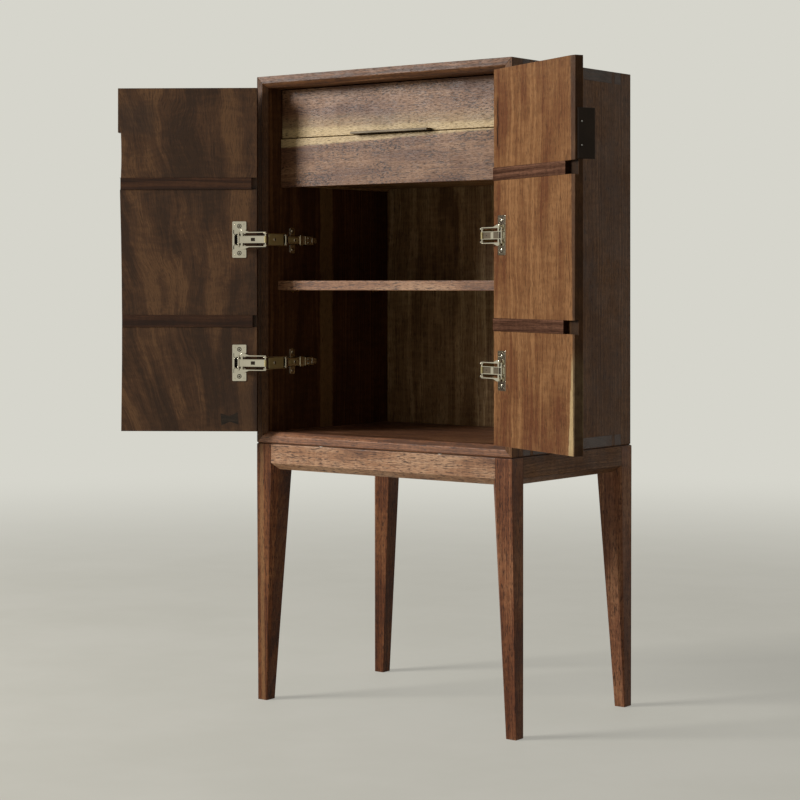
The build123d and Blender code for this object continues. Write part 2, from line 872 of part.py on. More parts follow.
def bar_outline(length, width, eye_radius):
    """Outline of a bar with a round eye at each end, from the middle of a plane along x."""
    with Locations((length / 2, 0)):
        Rectangle(length, width)
    with Locations((0, 0), (length, 0)):
        Circle(eye_radius)


def hinge_link(leaf, level, height, angle):
    """Link from the cup towards the knee, with a thin arm above and below."""
    pivot = turned(leaf.plan(height), cup_pivot_inset, door_thickness + cup_pivot_proud, angle)
    start, stop = link_bridge
    with BuildPart() as link:
        with BuildSketch(pivot):
            bar_outline(link_length, link_thickness, link_eye_radius)
        extrude(amount=link_half_height, both=True)
        with BuildSketch(pivot):
            with Locations(((start + stop) / 2, 0)):
                Rectangle(stop - start, link_thickness)
        extrude(amount=link_arm_outer, both=True)
        for way in (1, -1):
            with BuildSketch(pivot.offset(way * link_arm_inner)):
                bar_outline(link_length, link_thickness, link_eye_radius)
            extrude(amount=way * (link_arm_outer - link_arm_inner))
        disc(pivot, cup_pin_radius + running_fit, link_arm_outer, Mode.SUBTRACT)
    save(link, f"{leaf.name}_{level}_hinge_link")


def hinge_lever(leaf, level, height, angle):
    """Lever from the arm to the knee: two side plates and the web between them."""
    plan = case_plan(leaf.sense, height)
    pivot = turned(plan, board + arm_pivot_inset, door_back + arm_pivot_depth, angle)
    start, stop = lever_web
    with BuildPart() as lever:
        for way in (1, -1):
            with BuildSketch(pivot.offset(way * lever_inner)):
                bar_outline(lever_length, 2 * lever_radius, lever_radius)
            extrude(amount=way * (lever_outer - lever_inner))
        with BuildSketch(pivot):
            with Locations(((start + stop) / 2, lever_radius - lever_web_thickness / 2)):
                Rectangle(stop - start, lever_web_thickness)
        extrude(amount=lever_inner, both=True)
        disc(pivot, arm_pin_radius + running_fit, lever_outer, Mode.SUBTRACT)
    save(lever, f"{leaf.name}_{level}_hinge_lever")


def hinge_arm(leaf, level, height):
    """Base plate with wings on the side of the case, and the arm that carries the lever."""
    plan = case_plan(leaf.sense, height)
    pivot = turned(plan, board + arm_pivot_inset, door_back + arm_pivot_depth)
    base_start = plate_base_start
    with BuildPart() as arm:
        with BuildSketch(pivot):
            with Locations((plate_base_thickness / 2 - arm_pivot_inset, base_start + plate_base_length / 2)):
                Rectangle(plate_base_thickness, plate_base_length)
            with Locations((-arm_top_gap - arm_wall / 2, (base_start + arm_length) / 2)):
                Rectangle(arm_wall, arm_length - base_start)
        extrude(amount=arm_half_height, both=True)
        for way in (1, -1):
            with BuildSketch(pivot.offset(way * (arm_half_height - arm_wall))):
                with BuildLine():
                    Polyline(
                        (-arm_pivot_inset, base_start),
                        (-lever_radius, 0),
                        (-arm_top_gap, 0),
                        (-arm_top_gap, arm_length),
                        (-arm_pivot_inset, arm_length),
                        close=True,
                    )
                make_face()
                Circle(lever_radius)
            extrude(amount=way * arm_wall)
        with BuildSketch(case_side(board, leaf.sense)):
            with Locations((door_back + arm_pivot_depth + wing_offset, height)):
                Rectangle(wing_width, wing_height)
        extrude(amount=leaf.sense * plate_base_thickness)
        places = [(x, y) for x, y in wing_screw_places() if abs(y - height) < wing_height]
        hole_radius = wing_screw.shank_radius + running_fit
        drill(case_side(board, leaf.sense), places, hole_radius, leaf.sense * plate_base_thickness)
        disc(pivot, arm_pin_radius, lever_outer)
    save(arm, f"{leaf.name}_{level}_hinge_arm")


def hinges(leaf):
    """Both hinges of a door, with their screws."""
    lever_angle, link_angle = linkage(leaf)
    for level, height in zip(("lower", "upper"), hinge_heights()):
        hinge_cup(leaf, level, height)
        hinge_link(leaf, level, height, link_angle)
        hinge_lever(leaf, level, height, lever_angle)
        hinge_arm(leaf, level, height)
    with BuildPart() as cup_screws:
        flange_top = leaf.face(door_thickness).offset(-leaf.sense * flange_thickness)
        add_screws(flange_top, cup_screw_places(leaf), cup_screw, leaf.sense)
    save(cup_screws, f"{leaf.name}_cup_screws")


def hinge_arm_screws():
    """The screws that hold the hinge arms to both sides."""
    with BuildPart() as screws:
        for leaf in leaves:
            plate_top = case_side(board + plate_base_thickness, leaf.sense)
            add_screws(plate_top, wing_screw_places(), wing_screw, -leaf.sense)
    save(screws, "hinge_arm_screws")


# Drawers


def upright(depth):
    """Upright plane across the case at a depth: x to the right, y the height."""
    return Plane.XZ.offset(half_depth - depth)


def block(plane, centre, size, thickness, mode=Mode.ADD):
    """A rectangle on a plane, pushed behind it."""
    with BuildSketch(plane) as outline:
        with Locations(centre):
            Rectangle(*size)
    extrude(outline.sketch, amount=-thickness, mode=mode)


def pull_screw_places():
    """Screws of the pull blade, in plan."""
    y = drawer_depth + pull_let_in / 2 - half_depth
    return [(way * pull_screw_spread, y) for way in (-1, 1)]


def drawer(level, depth, bottom):
    """A side-hung drawer: front, two grooved sides, back and bottom."""
    inner_width = drawer_width - 2 * drawer_side
    sheet_width = inner_width + 2 * bottom_groove
    sheet_height = bottom + bottom_rise + drawer_bottom / 2
    box_bottom = bottom + drawer_box_drop
    box_height = drawer_height - 2 * drawer_box_drop
    box_middle = bottom + drawer_height / 2
    box_depth = depth + drawer_front
    box_length = drawer_length - drawer_front
    with BuildPart() as front:
        block(upright(depth), (0, box_middle), (drawer_width, drawer_height), drawer_front)
        groove_plane = upright(box_depth - bottom_groove)
        block(groove_plane, (0, sheet_height), (sheet_width, drawer_bottom), bottom_groove, Mode.SUBTRACT)
        if level == "upper":
            slot_centre = (0, bottom + pull_thickness / 2)
            block(upright(depth), slot_centre, (pull_length, pull_thickness), pull_let_in, Mode.SUBTRACT)
            hole_radius = pull_screw.shank_radius + running_fit
            hole_depth = pull_screw.head_height + pull_screw.length
            drill(Plane.XY.offset(bottom), pull_screw_places(), hole_radius, hole_depth)
    save(front, f"{level}_drawer_front")
    for name, way in (("left", -1), ("right", 1)):
        centre = way * (drawer_width - drawer_side) / 2
        groove = way * (drawer_width - runner_grip - groove_slack) / 2
        inner_face = way * (inner_width + bottom_groove) / 2
        with BuildPart() as side:
            block(upright(box_depth), (centre, box_middle), (drawer_side, box_height), box_length)
            groove_size = (runner_grip + groove_slack, runner_height + 2 * runner_slack)
            block(upright(box_depth), (groove, box_middle), groove_size, box_length, Mode.SUBTRACT)
            slot_size = (bottom_groove, drawer_bottom)
            block(upright(box_depth), (inner_face, sheet_height), slot_size, box_length, Mode.SUBTRACT)
        save(side, f"{level}_drawer_{name}_side")
    with BuildPart() as back:
        low = bottom + bottom_rise + drawer_bottom
        high = box_bottom + box_height
        back_plane = upright(depth + drawer_length - drawer_back)
        block(back_plane, (0, (low + high) / 2), (inner_width, high - low), drawer_back)
    save(back, f"{level}_drawer_back")
    with BuildPart() as sheet:
        sheet_plane = upright(box_depth - bottom_groove)
        block(sheet_plane, (0, sheet_height), (sheet_width, drawer_bottom), box_length + bottom_groove)
    save(sheet, f"{level}_drawer_bottom")


def runners(level, bottom):
    """The two wooden runners of a drawer, on the sides of the case."""
    reach = drawer_side_gap + runner_grip
    start = drawer_depth + drawer_front + runner_setback
    stop = drawer_depth + drawer_length - runner_setback
    for leaf in leaves:
        with BuildPart() as runner:
            with BuildSketch(case_side(board, leaf.sense)):
                with Locations(((start + stop) / 2, bottom + drawer_height / 2)):
                    Rectangle(stop - start, runner_height)
            extrude(amount=leaf.sense * reach)
        save(runner, f"{leaf.name}_{level}_runner")


def drawer_pull():
    """The steel blade let into the lower edge of the upper drawer's front, and its screws."""
    level = Plane.XY.offset(upper_drawer_bottom)
    with BuildPart() as blade:
        edge = upright(drawer_depth - pull_proud)
        edge_centre = (0, upper_drawer_bottom + pull_thickness / 2)
        block(edge, edge_centre, (pull_length, pull_thickness), pull_proud + pull_let_in)
        drill(level, pull_screw_places(), pull_screw.head_radius + running_fit, pull_screw.head_height)
        drill(level, pull_screw_places(), pull_screw.shank_radius + running_fit, pull_thickness)
    save(blade, "drawer_pull")
    with BuildPart() as screws:
        add_screws(level.offset(pull_screw.head_height), pull_screw_places(), pull_screw, 1)
    save(screws, "drawer_pull_screws")


# Everything, in the order in which it is put together

os.makedirs("parts", exist_ok=True)

stand_front = Plane.XZ.offset(half_depth)
stand_rear = Plane(origin=(0, stand_depth - half_depth, 0), x_dir=(-1, 0, 0), z_dir=(0, 1, 0))
stand_middle = stand_depth / 2 - half_depth
stand_left = Plane(origin=(-half_width, stand_middle, 0), x_dir=(0, -1, 0), z_dir=(-1, 0, 0))
stand_right = Plane(origin=(half_width, stand_middle, 0), x_dir=(0, 1, 0), z_dir=(1, 0, 0))
for end_name, end_sign in (("front", -1), ("rear", 1)):
    for side_name, side_sign in (("left", -1), ("right", 1)):
        leg(f"{end_name}_{side_name}_leg", side_sign, end_sign)
apron("front_apron", stand_front, case_width)
apron("rear_apron", stand_rear, case_width)
apron("left_apron", stand_left, stand_depth)
apron("right_apron", stand_right, stand_depth)
stand_fasteners()

end_board("bottom_panel", inner_bottom, case_bottom)
end_board("top_panel", inner_top, case_top)
back_panel()
shelf()
shelf_pins()
for case_leaf in leaves:
    side_board(case_leaf)
    door_panel(case_leaf)
    hinges(case_leaf)
hinge_arm_screws()
for batten_level, rise, left_start, left_end, right_end in zip(
    ("lower", "upper"), (lower_batten, upper_batten), left_batten_starts, left_batten_ends, right_batten_ends
):
    batten(left_leaf, batten_level, rise, left_start, left_leaf.width - left_end)
    batten(right_leaf, batten_level, rise, right_batten_start, right_leaf.width - right_end)
butterfly_key()
pull_plate()

drawer("upper", drawer_depth, upper_drawer_bottom)
drawer("lower", drawer_depth - lower_drawer_ajar, lower_drawer_bottom)
runners("upper", upper_drawer_bottom)
runners("lower", lower_drawer_bottom)
drawer_pull()
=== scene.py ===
"""A walnut cabinet on a four-legged stand, with its doors open on knee hinges.

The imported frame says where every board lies. This script softens the boards, finishes the wood
and the metal, and builds the hinges and screws in full. Shapes are drawn in millimetres.
"""

import json
import logging
from collections.abc import Sequence
from dataclasses import dataclass, replace
from enum import Enum, IntEnum
from math import acos, atan2, cos, degrees, hypot, pi, radians, sin
from typing import NamedTuple

import bmesh
import bpy
from mathutils import Matrix, Vector

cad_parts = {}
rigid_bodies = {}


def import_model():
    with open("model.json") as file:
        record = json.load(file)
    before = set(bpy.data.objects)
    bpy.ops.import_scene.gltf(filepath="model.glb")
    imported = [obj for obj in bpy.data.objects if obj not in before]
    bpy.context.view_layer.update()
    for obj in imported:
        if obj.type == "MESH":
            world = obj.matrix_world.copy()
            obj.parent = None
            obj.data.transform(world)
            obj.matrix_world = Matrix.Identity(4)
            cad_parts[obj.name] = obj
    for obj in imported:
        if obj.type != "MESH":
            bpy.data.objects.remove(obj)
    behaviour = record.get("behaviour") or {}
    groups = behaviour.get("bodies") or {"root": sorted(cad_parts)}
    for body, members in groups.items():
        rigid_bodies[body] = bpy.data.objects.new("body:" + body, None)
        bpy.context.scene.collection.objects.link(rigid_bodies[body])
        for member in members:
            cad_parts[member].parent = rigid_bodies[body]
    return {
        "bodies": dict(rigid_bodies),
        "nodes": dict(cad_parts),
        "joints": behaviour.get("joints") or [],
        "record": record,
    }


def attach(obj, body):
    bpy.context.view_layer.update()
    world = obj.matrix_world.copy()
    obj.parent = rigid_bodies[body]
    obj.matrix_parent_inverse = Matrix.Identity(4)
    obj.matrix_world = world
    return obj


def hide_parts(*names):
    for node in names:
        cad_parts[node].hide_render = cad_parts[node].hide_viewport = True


MILLIMETRE = 0.001

Rgb = tuple[float, float, float]
Triple = tuple[float, float, float]
Point = tuple[float, float]
Socket = bpy.types.NodeSocket
log = logging.getLogger("cabinet")


# Shader nodes


def paint(red: int, green: int, blue: int) -> Rgb:
    """Linear colour for a colour given in the usual 0 to 255 steps.

    Args:
        red: Red step.
        green: Green step.
        blue: Blue step.

    Returns:
        The linear red, green and blue.
    """

    def linear(step: int) -> float:
        """One channel, made linear."""
        share = step / 255
        return share / 12.92 if share <= 0.04045 else ((share + 0.055) / 1.055) ** 2.4

    return linear(red), linear(green), linear(blue)


class Value:
    """A number that a node puts out. Each sum on it adds a node to its sheet."""

    def __init__(self, sheet: "Sheet", socket: Socket) -> None:
        """Stand for an output socket of a sheet."""
        self.sheet = sheet
        self.socket = socket

    def __add__(self, other: object) -> "Value":
        """This and the other."""
        return self.sheet.math("ADD", self, other)

    def __sub__(self, other: object) -> "Value":
        """This less the other."""
        return self.sheet.math("SUBTRACT", self, other)

    def __mul__(self, other: object) -> "Value":
        """This times the other."""
        return self.sheet.math("MULTIPLY", self, other)

    def __truediv__(self, other: object) -> "Value":
        """This over the other."""
        return self.sheet.math("DIVIDE", self, other)

    def __abs__(self) -> "Value":
        """This without its sign."""
        return self.sheet.math("ABSOLUTE", self)


class Sheet:
    """A node tree being laid out. Each method adds nodes and returns what they put out."""

    def __init__(self, tree: bpy.types.NodeTree) -> None:
        """Work on a tree."""
        self.tree = tree

    def node(self, kind: str, **settings: object) -> bpy.types.Node:
        """Add a node.

        Args:
            kind: The node's type, without its ShaderNode prefix.
            settings: Values of the node's own properties.

        Returns:
            The node.
        """
        node = self.tree.nodes.new("ShaderNode" + kind)
        for name, value in settings.items():
            setattr(node, name, value)
        return node

    def put(self, socket: Socket, value: object) -> None:
        """Feed a socket from a node, or set its value.

        Args:
            socket: The input.
            value: A value or socket of another node, a number, a colour or a vector.
        """
        if isinstance(value, Value):
            value = value.socket
        if isinstance(value, Socket):
            self.tree.links.new(value, socket)
        elif socket.type == "RGBA":
            socket.default_value = (*value, 1.0)
        else:
            socket.default_value = value

    def feed(self, node: bpy.types.Node, *values: object) -> bpy.types.Node:
        """Feed a node's inputs in order.

        Args:
            node: The node.
            values: What its first inputs take.

        Returns:
            The node.
        """
        for socket, value in zip(node.inputs, values):
            self.put(socket, value)
        return node

    def math(self, operation: str, first: object, second: object = 0.0) -> Value:
        """One sum on two values or numbers."""
        node = self.feed(self.node("Math", operation=operation), first, second)
        return Value(self, node.outputs[0])

    def vector(self, operation: str, first: object, second: object) -> Socket:
        """One sum on two sockets or vectors: a number for a dot product, and else a vector."""
        node = self.feed(self.node("VectorMath", operation=operation), first, second)
        return node.outputs["Value" if operation == "DOT_PRODUCT" else "Vector"]

    def split(self, vector: object) -> list[Value]:
        """The three parts of a vector."""
        node = self.feed(self.node("SeparateXYZ"), vector)
        return [Value(self, socket) for socket in node.outputs]

    def join(self, *parts: object) -> Socket:
        """A vector from three parts."""
        return self.feed(self.node("CombineXYZ"), *parts).outputs[0]

    def noise(self, dimensions: str, where: object, detail: float, roughness: float) -> bpy.types.Node:
        """Smooth noise with cells one unit wide.

        Args:
            dimensions: 1D on a line, or 3D in space.
            where: Where to read it: a value on a line, a vector in space.
            detail: Octaves.
            roughness: Weight of the finer octaves.

        Returns:
            The noise node.
        """
        node = self.node("TexNoise", noise_dimensions=dimensions)
        self.put(node.inputs["W" if dimensions == "1D" else "Vector"], where)
        for name, value in (("Scale", 1.0), ("Detail", detail), ("Roughness", roughness)):
            self.put(node.inputs[name], value)
        return node

    def wave(self, where: Value, detail: float, roughness: float) -> Value:
        """Noise on a line, with so many octaves and such a weight of the finer ones."""
        return Value(self, self.noise("1D", where, detail, roughness).outputs[0])

    def sway(self, place: object, scale: Triple, detail: float, roughness: float) -> list[Value]:
        """Three unlike drifts about 0, from noise in space with so many cells per unit on each axis."""
        noise = self.noise("3D", self.vector("MULTIPLY", place, scale), detail, roughness)
        return self.split(self.vector("SUBTRACT", noise.outputs["Color"], (0.5, 0.5, 0.5)))

    def marks(self, place: object, scale: Triple, low: float, high: float, detail: float = 2.0,
              roughness: float = 0.5) -> Value:
        """Marks where noise in space rises from low to high: 1 on a mark and 0 beside it."""
        noise = self.noise("3D", self.vector("MULTIPLY", place, scale), detail, roughness)
        return self.fit(noise.outputs[0], low, high)

    def fit(self, value: object, low: object, high: object, start: object = 0.0, stop: object = 1.0) -> Value:
        """Carry a value smoothly from the range low to high to the range start to stop."""
        node = self.node("MapRange", interpolation_type="SMOOTHSTEP")
        return Value(self, self.feed(node, value, low, high, start, stop).outputs[0])

    def mix(self, share: object, under: object, over: object, blend: str = "MIX") -> Socket:
        """Lay one colour over another.

        Args:
            share: How much of the upper colour shows.
            under: The lower colour.
            over: The upper colour.
            blend: The node's blend type.

        Returns:
            The colour.
        """
        node = self.node("Mix", data_type="RGBA", blend_type=blend)
        self.put(node.inputs[0], share)
        self.put(node.inputs[6], under)
        self.put(node.inputs[7], over)
        return node.outputs[2]

    def use(self, group: bpy.types.NodeTree, **values: object) -> dict[str, Value]:
        """Place a node group.

        Args:
            group: The group.
            values: Its inputs, by name with _ for a space.

        Returns:
            Its outputs by name.
        """
        node = self.node("Group", node_tree=group)
        for name, value in values.items():
            self.put(node.inputs[name.replace("_", " ")], value)
        return {socket.name: Value(self, socket) for socket in node.outputs}


class Group(Sheet):
    """A node group being laid out. All its inputs but Vector are numbers, and so are its outputs."""

    def __init__(self, name: str, inputs: Sequence[str], outputs: Sequence[str]) -> None:
        """Start the group.

        Args:
            name: The group's name.
            inputs: Input names.
            outputs: Output names.
        """
        super().__init__(bpy.data.node_groups.new(name, "ShaderNodeTree"))
        for label in inputs:
            kind = "NodeSocketVector" if label == "Vector" else "NodeSocketFloat"
            self.tree.interface.new_socket(label, in_out="INPUT", socket_type=kind)
        for label in outputs:
            self.tree.interface.new_socket(label, in_out="OUTPUT", socket_type="NodeSocketFloat")
        entry = self.tree.nodes.new("NodeGroupInput")
        self.inputs = [Value(self, entry.outputs[label]) for label in inputs]
        self.leave = self.tree.nodes.new("NodeGroupOutput")

    def give(self, **results: Value) -> bpy.types.NodeTree:
        """Put out results by name, and hand over the group.

        Args:
            results: The group's outputs.

        Returns:
            The group.
        """
        for name, value in results.items():
            self.put(self.leave.inputs[name], value)
        return self.tree


class MaterialSheet(Sheet):
    """A material being laid out round its shader."""

    def __init__(self, name: str) -> None:
        """Start a material.

        Args:
            name: Its name.
        """
        self.material = bpy.data.materials.new(name)
        self.material.use_nodes = True
        super().__init__(self.material.node_tree)
        self.shader = self.tree.nodes["Principled BSDF"]

    def finish(self, colour: object, roughness: Value, specular: float, height: Value, strength: float,
               distance: float) -> bpy.types.Material:
        """Feed the shader.

        Args:
            colour: Base colour.
            roughness: Roughness.
            specular: Specular level.
            height: Relief of the surface.
            strength: How much of the relief shows.
            distance: Height of a relief of 1, in metres.

        Returns:
            The material.
        """
        bump = self.node("Bump")
        bump.inputs["Strength"].default_value = strength
        bump.inputs["Distance"].default_value = distance
        self.put(bump.inputs["Height"], height)
        self.put(self.shader.inputs["Base Color"], colour)
        self.put(self.shader.inputs["Roughness"], roughness)
        self.put(self.shader.inputs["Normal"], bump.outputs[0])
        self.shader.inputs["Specular IOR Level"].default_value = specular
        return self.material


class Effects:
    """The node groups that the finishes share, each made once. All read millimetres."""

    def __init__(self) -> None:
        """Make the groups."""
        self.spread = self.make_spread()
        self.figure = self.make_figure()
        self.pores = self.make_pores()
        self.wear = self.make_wear()
        self.band = self.make_band()

    def make_spread(self) -> bpy.types.NodeTree:
        """Grain that fans out upwards from a point and swirls, as a bent vector.

        Returns:
            The group.
        """
        group = Group(
            "grain spread", ("Vector", "Centre", "Height", "Reach", "Swirl"), ("Across", "Through", "Along")
        )
        place, centre, height, reach, swirl = group.inputs
        across, through, along = group.split(place)
        sway_across, _, sway_along = group.sway(place, (1 / 90, 1 / 90, 1 / 150), 2.0, 0.45)
        narrowed = (across - centre) * (reach / (reach + (along - height)))
        return group.give(
            Across=narrowed + centre + sway_across * swirl, Through=through, Along=along + sway_along * swirl
        )

    def make_figure(self) -> bpy.types.NodeTree:
        """Growth rings, fibres, broad colour clouds and ripples, with the grain along the vector's Z.

        Returns:
            The group.
        """
        group = Group(
            "timber figure", ("Vector", "Ring Width", "Pith Depth", "Waviness"),
            ("Rings", "Fibre", "Cloud", "Ripple"),
        )
        place, ring_width, pith_depth, waviness = group.inputs
        across, through, _ = group.split(place)
        sway_across, sway_through, _ = group.sway(place, (1 / 70, 1 / 70, 1 / 260), 3.0, 0.55)
        moved = sway_across * waviness + across
        sunk = sway_through * waviness + (through + pith_depth)
        radius = group.math("SQRT", moved * moved + sunk * sunk)
        return group.give(
            Rings=group.fit(group.wave(radius / ring_width, 3.0, 0.6), 0.3, 0.7),
            Fibre=group.marks(place, (0.5, 0.5, 0.008), 0.32, 0.68, 4.0, 0.62),
            Cloud=group.marks(place, (1 / 45, 1 / 45, 1 / 180), 0.3, 0.7),
            Ripple=group.marks(place, (1 / 34, 1 / 34, 1 / 9), 0.35, 0.68, 2.0, 0.6),
        )

    def make_pores(self) -> bpy.types.NodeTree:
        """Short dark pores along the grain, longer flecks and patches of small burr marks.

        Returns:
            The group.
        """
        group = Group("open pores", ("Vector",), ("Pores", "Flecks", "Burr"))
        place, = group.inputs
        specks = group.marks(place, (0.36, 0.36, 0.15), 0.54, 0.61, 1.5, 0.6)
        return group.give(
            Pores=group.marks(place, (1.7, 1.7, 0.1), 0.54, 0.66, 1.0),
            Flecks=group.marks(place, (0.42, 0.42, 0.07), 0.54, 0.66, 2.0, 0.6),
            Burr=specks * group.marks(place, (1 / 45, 1 / 45, 1 / 90), 0.46, 0.58),
        )

    def make_wear(self) -> bpy.types.NodeTree:
        """Broad rubbed patches, fine dust and hair scratches.

        Returns:
            The group.
        """
        group = Group("wear", ("Vector",), ("Rub", "Dust", "Scratches"))
        place, = group.inputs
        return group.give(
            Rub=group.marks(place, (1 / 55, 1 / 55, 1 / 55), 0.3, 0.7, 3.0, 0.6),
            Dust=group.marks(place, (0.5, 0.5, 0.5), 0.45, 0.75, 3.0, 0.7),
            Scratches=group.marks(place, (0.05, 0.9, 3.0), 0.4, 0.7, 2.0, 0.7),
        )

    def make_band(self) -> bpy.types.NodeTree:
        """A band with a wandering edge, for streaks of other wood and for painted shade: 1 in it and 0 beside
        it and past its ends.

        Returns:
            The group.
        """
        group = Group(
            "band",
            ("Across", "Along", "Middle", "Half Width", "Soft", "Lean", "Wander", "Start", "Stop", "Fade"),
            ("Mask",),
        )
        across, along, middle, half_width, soft, lean, wander, start, stop, fade = group.inputs
        drift = group.wave(along * (1 / 60), 4.0, 0.6)
        centre = middle + (along * lean + (drift - 0.5) * wander)
        inside = group.fit(abs(across - centre), half_width, half_width + soft, 1.0, 0.0)
        after = group.fit(along, start, start + fade)
        before = group.fit(along, stop - fade, stop, 1.0, 0.0)
        return group.give(Mask=inside * (after * before))


# Finishes


@dataclass(frozen=True)
class Run:
    """How the grain lies in a board.

    The order names the frame's axes across, through and along the grain, after a turn about Z
    and a shift that put a door's own corner at the origin.
    """

    order: str
    place: Triple = (0.0, 0.0, 0.0)
    turn: float = 0.0

    def vector(self, sheet: Sheet) -> Socket:
        """Millimetres across, through and along the grain.

        Args:
            sheet: The sheet to work on.

        Returns:
            The place in the board.
        """
        coordinates = sheet.node("TexCoord").outputs["Object"]
        mapping = sheet.node("Mapping", vector_type="TEXTURE")
        sheet.feed(mapping, coordinates, self.place, (0.0, 0.0, self.turn), (MILLIMETRE,) * 3)
        parts = dict(zip("xyz", sheet.split(mapping.outputs[0])))
        return sheet.join(*(parts[letter] for letter in self.order))

    def end_grain(self, sheet: Sheet) -> Value:
        """How squarely a face cuts across the grain.

        Args:
            sheet: The sheet to work on.

        Returns:
            0 on long grain and 1 on end grain.
        """
        along = Vector([float(letter == self.order[2]) for letter in "xyz"])
        along.rotate(Matrix.Rotation(self.turn, 3, "Z"))
        normal = sheet.node("TexCoord").outputs["Normal"]
        facing = abs(Value(sheet, sheet.vector("DOT_PRODUCT", normal, tuple(along))))
        return sheet.fit(facing, 0.6, 0.95)


@dataclass(frozen=True)
class Band:
    """A streak of other colour in a board, in millimetres across and along the grain."""

    middle: float
    half_width: float
    start: float
    stop: float
    colour: Rgb
    strength: float = 0.8
    soft: float = 3.0
    lean: float = 0.0
    wander: float = 6.0
    fade: float = 25.0

    def lay(self, sheet: Sheet, effects: Effects, place: Socket, under: object) -> Socket:
        """Lay the band over a colour.

        Args:
            sheet: The material's sheet.
            effects: The shared groups.
            place: Millimetres across, through and along.
            under: The colour under it.

        Returns:
            The colour with the band.
        """
        across, _, along = sheet.split(place)
        band = sheet.use(
            effects.band, Across=across, Along=along, Middle=self.middle, Half_Width=self.half_width,
            Soft=self.soft, Lean=self.lean, Wander=self.wander, Start=self.start, Stop=self.stop,
            Fade=self.fade,
        )
        return sheet.mix(band["Mask"] * self.strength, under, self.colour)


@dataclass(frozen=True)
class BarkAndPaintedShade:
    """A dark mark over what lies between two lines across a board and below its two faces: the board's
    natural edge, and painted shade in slots cut into it.
    """

    start: float
    thickness: float
    colour: Rgb
    strength: float = 0.9
    soft: float = 3.0
    stop: float = 1000.0

    def lay(self, sheet: Sheet, effects: Effects, place: Socket, under: object) -> Socket:
        """Lay the dark mark over a colour.

        Args:
            sheet: The material's sheet.
            effects: The shared groups.
            place: Millimetres across, through and along.
            under: The colour under it.

        Returns:
            The colour with the dark mark.
        """
        across, through, _ = sheet.split(place)
        rub = sheet.use(effects.wear, Vector=place)["Rub"]
        past = sheet.fit(across, self.start, self.start + self.soft)
        before = sheet.fit(across, self.stop, self.stop + 0.3, 1.0, 0.0)
        deep = abs(through)
        below_inner = sheet.fit(deep, self.thickness - 0.6, self.thickness - 0.15, 1.0, 0.0)
        above_outer = sheet.fit(deep, 0.3, 1.2)
        mask = past * before * (below_inner * above_outer)
        uneven = sheet.fit(rub, 0.0, 1.0, self.strength, 0.75 * self.strength)
        return sheet.mix(mask * uneven, under, self.colour)


@dataclass(frozen=True)
class Fan:
    """How the grain of a board fans out upwards, in millimetres across and along it."""

    centre: float = 0.0
    height: float = 0.0
    reach: float = 100000.0
    swirl: float = 5.0


class Tones(NamedTuple):
    """The colours of a timber."""

    dark: Rgb
    middle: Rgb
    light: Rgb
    pore: Rgb


def tones(*steps: tuple[int, int, int]) -> Tones:
    """The dark, middle, light and pore colours of a timber, given in the usual 0 to 255 steps."""
    return Tones(*(paint(*colour) for colour in steps))


@dataclass(frozen=True)
class Timber:
    """An oiled, open-pored wood."""

    name: str
    tones: Tones
    ring_width: float = 5.0
    pith_depth: float = 70.0
    waviness: float = 30.0
    fan: Fan = Fan()
    ripple: float = 0.12
    pores: float = 0.5
    flecks: float = 0.5
    burr: float = 0.0
    rings: float = 0.42
    fibre: float = 0.3
    roughness: float = 0.5
    specular: float = 0.2

    def make(self, effects: Effects, label: str, run: Run, seed: float,
             bands: Sequence[Band | BarkAndPaintedShade]) -> bpy.types.Material:
        """Make the material of one board.

        Args:
            effects: The shared groups.
            label: The board's name.
            run: How the grain lies.
            seed: Moves the pattern, so that no two boards match.
            bands: Streaks of other colour, from the lowest up.

        Returns:
            The material.
        """
        sheet = MaterialSheet(f"{self.name} {label}")
        dark, middle, light, pore = self.tones
        place = run.vector(sheet)
        spread = sheet.use(
            effects.spread, Vector=place, Centre=self.fan.centre, Height=self.fan.height,
            Reach=self.fan.reach, Swirl=self.fan.swirl,
        )
        bent = sheet.join(spread["Across"], spread["Through"], spread["Along"])
        moved = sheet.vector("ADD", bent, (seed * 31.0, seed * 3.0, seed * 137.0))
        figure = sheet.use(
            effects.figure, Vector=moved, Ring_Width=self.ring_width, Pith_Depth=self.pith_depth,
            Waviness=self.waviness,
        )
        pores = sheet.use(effects.pores, Vector=moved)
        wear = sheet.use(effects.wear, Vector=moved)
        cloud = 1.0 - self.rings - self.fibre
        tone = figure["Rings"] * self.rings + figure["Fibre"] * self.fibre + figure["Cloud"] * cloud
        tone = tone + (figure["Ripple"] - 0.5) * self.ripple
        colour = sheet.mix(sheet.fit(tone, 0.18, 0.52), dark, middle)
        colour = sheet.mix(sheet.fit(tone, 0.48, 0.82), colour, light)
        colour = sheet.mix(pores["Flecks"] * self.flecks, colour, pore)
        colour = sheet.mix(pores["Burr"] * self.burr, colour, pore)
        for band in bands:
            colour = band.lay(sheet, effects, place, colour)
        colour = sheet.mix(pores["Pores"] * self.pores, colour, pore)
        soaked = run.end_grain(sheet) * 0.5
        colour = sheet.mix(soaked, colour, dark, "MULTIPLY")
        colour = sheet.mix(soaked, colour, pore)
        colour = sheet.mix(wear["Dust"] * 0.06, colour, light)
        roughness = pores["Pores"] * 0.18 + wear["Rub"] * -0.12 + self.roughness
        height = figure["Fibre"] * 0.35 - pores["Pores"] - pores["Flecks"] * 0.6
        return sheet.finish(colour, roughness, self.specular, height, 0.35, 0.0002)


